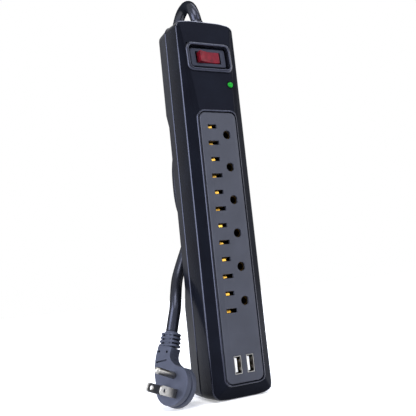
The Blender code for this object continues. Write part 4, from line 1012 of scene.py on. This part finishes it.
# %% Plug body
NECK_RIGHT = ((2.0, 27.2), (0.5, 23.6), (0.0, 20.6), (1.4, 16.6), (4.8, 12.9))
NECK_LEFT = ((-14.9, 9.0), (-14.4, 18.5), (-13.0, 25.0), (-10.3, 31.6))
PLUG_PROFILE = (
    (12.0, 0.0), (14.65, 0.0), (14.65, 4.2), (13.9, 4.6),
    (13.9, 5.4), (15.0, 5.8), (15.0, 10.5), (12.0, 10.5),
)


def plug_ring(radius, depth):
    """A ring down the neck's right side, round the disc and up the neck's left side."""
    turns = [math.radians(angle) for angle in range(42, -191, -8)]
    disc = [Vector((radius * math.cos(turn), radius * math.sin(turn))) for turn in turns]
    points = smooth([*map(Vector, NECK_RIGHT), *disc, *map(Vector, NECK_LEFT)], 3)
    return [PLUG_PLACE @ Vector((point.x * MM, depth * MM, point.y * MM)) for point in points]


plug_rings = [plug_ring(radius, depth) for radius, depth in PLUG_PROFILE]
plug_radii = [0.5 * MM, 0.2 * MM, 0.15 * MM, 0.15 * MM, 0.35 * MM, 1.3 * MM]
plug = loft("plug_shell", plug_rings, plug_radii, closed=False)
keep(plug, PLUG_VINYL, replaces=("plug_body",))
print("plug faces:", len(plug.data.polygons))

# %% Dots and slit
DOTS, DOT_RADIUS = ((-10.0, 27.0), (-2.7, 24.8)), 0.95 * MM
MARK_START, DOT_END, SLIT_END = -1.0 * MM, 1.4 * MM, 1.6 * MM
SLIT_REACH, SLIT_RISE = 4.9 * MM, 0.6 * MM
SLIT_PLACE = (
    PLUG_PLACE @ Matrix.Translation((-8.2 * MM, 0, 19.1 * MM)) @ Matrix.Rotation(math.radians(4.9), 4, "Y")
)
marks = bmesh.new()
for x, z in DOTS:
    start, end = (x * MM, MARK_START, z * MM), (x * MM, DOT_END, z * MM)
    add_rod(marks, start, end, DOT_RADIUS, 20, PLUG_PLACE)
add_box(marks, (-SLIT_REACH, MARK_START, -SLIT_RISE), (SLIT_REACH, SLIT_END, SLIT_RISE), SLIT_PLACE)
print("plug faces with its marks:", carve(plug, marks))

# %% Ribs of the relief
RIBS, RIB_THICK, RIB_START, RELIEF_LENGTH = 4, 1.6, 0.3, 12.0
RIB_PITCH = (RELIEF_LENGTH - RIB_START - RIB_THICK) / (RIBS - 0.5)
RIB_WIDTH, RIB_NARROWS, RIB_DEPTH, RIB_THINS = 16.6, 0.6, 10.4, 0.15
RIB_CORNER, ROOT_CORNER, ROOT_INSET, RIB_ROUND = 3.6, 2.2, 3, 0.6 * MM
BRIDGE_X, BRIDGE_HALF, BRIDGE_REACH = 4.6, 0.8, 4.4
CORE = ((9.6, 9.0, 4.2, 0.0), (9.6, 9.0, 4.2, RELIEF_LENGTH), (7.0, 7.0, 3.3, RELIEF_LENGTH))


def relief_rings(sections):
    """Rings along the relief from (width, thickness, corner radius, height) in millimetres."""
    rings = []
    for width, thick, radius, height in sections:
        points = outline(width / 2 * MM, -thick / 2 * MM, thick / 2 * MM, radius * MM, steps=6, ends=3)
        rings.append([RELIEF_PLACE @ Vector((x, y, height * MM)) for x, y in points])
    return rings


bm = bmesh.new()
add_loft(bm, relief_rings(CORE), [RIB_ROUND], closed=False)
for i in range(RIBS):
    low = RIB_START + i * RIB_PITCH
    high = low + RIB_THICK
    rib = (RIB_WIDTH - RIB_NARROWS * i, RIB_DEPTH - RIB_THINS * i, RIB_CORNER)
    root = (rib[0] - ROOT_INSET, rib[1] - ROOT_INSET, ROOT_CORNER)
    sections = [(*root, low), (*rib, low), (*rib, high), (*root, high)]
    add_loft(bm, relief_rings(sections), [RIB_ROUND, RIB_ROUND], closed=False)
for i in range(RIBS - 1):
    low = RIB_START + i * RIB_PITCH + RIB_THICK / 2
    for x in (-BRIDGE_X, BRIDGE_X):
        start = ((x - BRIDGE_HALF) * MM, -BRIDGE_REACH * MM, low * MM)
        end = ((x + BRIDGE_HALF) * MM, BRIDGE_REACH * MM, (low + RIB_PITCH) * MM)
        add_box(bm, start, end, RELIEF_PLACE)
relief = keep(piece("plug_ribs", bm), PLUG_VINYL, replaces=("plug_strain_relief",))
print("ribs:", RIBS, "faces:", len(relief.data.polygons))

# %% [markdown]
# ## What the cord carries
#
# The plug with its blades and ribs hangs on the cord's far end, and the tie sits on its hank.

# %% [markdown]
# ## Floor and surround
#
# The strip stands in a white studio. The floor and the world show white to the camera, and to glossy and
# transmission rays, so that plastic and metal mirror white too. For all other rays they are dimmer, which
# keeps the object's soft shadow. A white floor lit by lamps alone would turn grey towards the horizon.

# %% Floor
FLOOR_NEAR, FLOOR_FAR, FADE_FROM, FADE_TO = 0.35, 1.0, 0.12, 0.5


def seen_white(tree):
    """1 for camera, transmission and glossy rays, which meet a white surround."""
    rays = new_node(tree, "ShaderNodeLightPath")
    most = {"operation": "MAXIMUM"}
    camera_ray, through_ray = (rays, "Is Camera Ray"), (rays, "Is Transmission Ray")
    through = new_node(tree, "ShaderNodeMath", most, _0=camera_ray, _1=through_ray)
    seen = new_node(tree, "ShaderNodeMath", most, _0=(through, "Value"), _1=(rays, "Is Glossy Ray"))
    return (seen, "Value")


bm = bmesh.new()
bmesh.ops.create_grid(bm, x_segments=1, y_segments=1, size=3.0)
floor = piece("floor", bm)
# Matt white paper. It shows nothing but a soft shadow.
floor_material, tree, shader = new_material("matt_white_paper")
set_sockets(tree, shader, Base_Color=colour("f2f2f2"), Roughness=0.9, Specular_IOR_Level=0.1)
place = (new_node(tree, "ShaderNodeTexCoord"), "Object")
away = new_node(tree, "ShaderNodeVectorMath", {"operation": "LENGTH"}, _0=place)
fade = new_node(
    tree, "ShaderNodeMapRange", Value=(away, "Value"), From_Min=FADE_FROM, From_Max=FADE_TO,
    To_Min=FLOOR_NEAR, To_Max=FLOOR_FAR,
)
glow = new_node(tree, "ShaderNodeEmission", Color=colour("ffffff"), Strength=(fade, "Result"))
both = new_node(tree, "ShaderNodeAddShader", _0=(shader, "BSDF"), _1=(glow, "Emission"))
pick = new_node(tree, "ShaderNodeMixShader", _0=seen_white(tree), _1=(shader, "BSDF"), _2=(both, "Shader"))
set_sockets(tree, tree.nodes["Material Output"], Surface=(pick, "Shader"))
dress(floor, floor_material)
print("floor glow:", FLOOR_NEAR, "near the strip,", FLOOR_FAR, "far off")

# %% Surround
WORLD_LIGHT = 0.42
world = bpy.data.worlds.new("studio")
world.use_nodes = True
bpy.context.scene.world = world
tree = world.node_tree
plain = tree.nodes["Background"]
set_sockets(tree, plain, Color=colour("e2e8ff"), Strength=WORLD_LIGHT)
white = new_node(tree, "ShaderNodeBackground", Color=colour("ffffff"), Strength=1.0)
pick = new_node(
    tree, "ShaderNodeMixShader", _0=seen_white(tree), _1=(plain, "Background"), _2=(white, "Background")
)
set_sockets(tree, tree.nodes["World Output"], Surface=(pick, "Shader"))
print("world light:", WORLD_LIGHT)

# %% [markdown]
# ## Lamps
#
# Large area lamps stand in for soft boxes. The key gives the soft shadow, the left one lights the rear
# cover and the cord, and the right one fills the other side. The front one shows in the guard's rim and on
# the ramp, and the top one lights the upper edges. Point lamps would leave hard spots on the polished
# plastic.

# %% Soft boxes


def soft_box(name, place, aim, size, power, tint="ffffff"):
    light = bpy.data.lights.new(name, "AREA")
    light.shape = "RECTANGLE"
    light.color = colour(tint)[:3]
    light.size, light.size_y = size
    light.energy = power
    made = add_object(name, light)
    made.location = place
    made.rotation_euler = (Vector(aim) - Vector(place)).to_track_quat("-Z", "Y").to_euler()
    return made


MIDDLE, UPPER, BLUE_WHITE = (0, 0, 0.14), (0, 0, 0.26), "e4eaff"
lamps = [
    soft_box("key", (-0.5, -0.9, 1.4), MIDDLE, (0.8, 0.8), power=17.0),
    soft_box("left", (-1.09, -0.17, 0.35), MIDDLE, (0.75, 1.0), power=24.0, tint="eef2ff"),
    soft_box("right", (0.95, -0.55, 0.35), MIDDLE, (0.4, 0.9), power=7.0),
    soft_box("front", (0.56, -0.98, 0.86), UPPER, (0.5, 0.7), power=5.6, tint=BLUE_WHITE),
    soft_box("top", (0.55, 0.15, 1.35), (0, 0, 0.25), (0.9, 0.9), power=14.0, tint=BLUE_WHITE),
]
print("lamps:", [lamp.name for lamp in lamps])

# %% [markdown]
# ## Camera
#
# The camera was fitted to the spacing of the outlets and to the housing's edges, so its place and its
# angles are odd numbers. It stands low and to the left, and leans a little. Its three axes are built from
# the angles and put straight into its matrix, because a Track To constraint can't give the lean.

# %% Camera
AZIMUTH, ELEVATION, ROLL = math.radians(-26.971), math.radians(-6.963), math.radians(-5.959)
FOCAL_PIXELS, PICTURE_PIXELS, SENSOR = 604.25, 416, 36.0
CAMERA_PLACE = at(-218.78 * MM, -397.31 * MM, 86.87 * MM)
level = math.cos(ELEVATION)
back = Vector((math.sin(AZIMUTH) * level, -math.cos(AZIMUTH) * level, math.sin(ELEVATION)))
right = (-back).cross(Vector((0, 0, 1))).normalized()
up = right.cross(-back)
turned_right = right * math.cos(ROLL) + up * math.sin(ROLL)
turned_up = up * math.cos(ROLL) - right * math.sin(ROLL)
camera = add_object("camera", bpy.data.cameras.new("camera"))
camera.data.sensor_width = SENSOR
camera.data.lens = FOCAL_PIXELS / PICTURE_PIXELS * SENSOR
camera.data.clip_start = 10 * MM
turn = Matrix((turned_right, turned_up, back)).transposed().to_4x4()
camera.matrix_world = Matrix.Translation(CAMERA_PLACE) @ turn
bpy.context.scene.camera = camera
bpy.context.scene.view_settings.view_transform = "Standard"
print("camera lens:", round(camera.data.lens, 2), "mm")
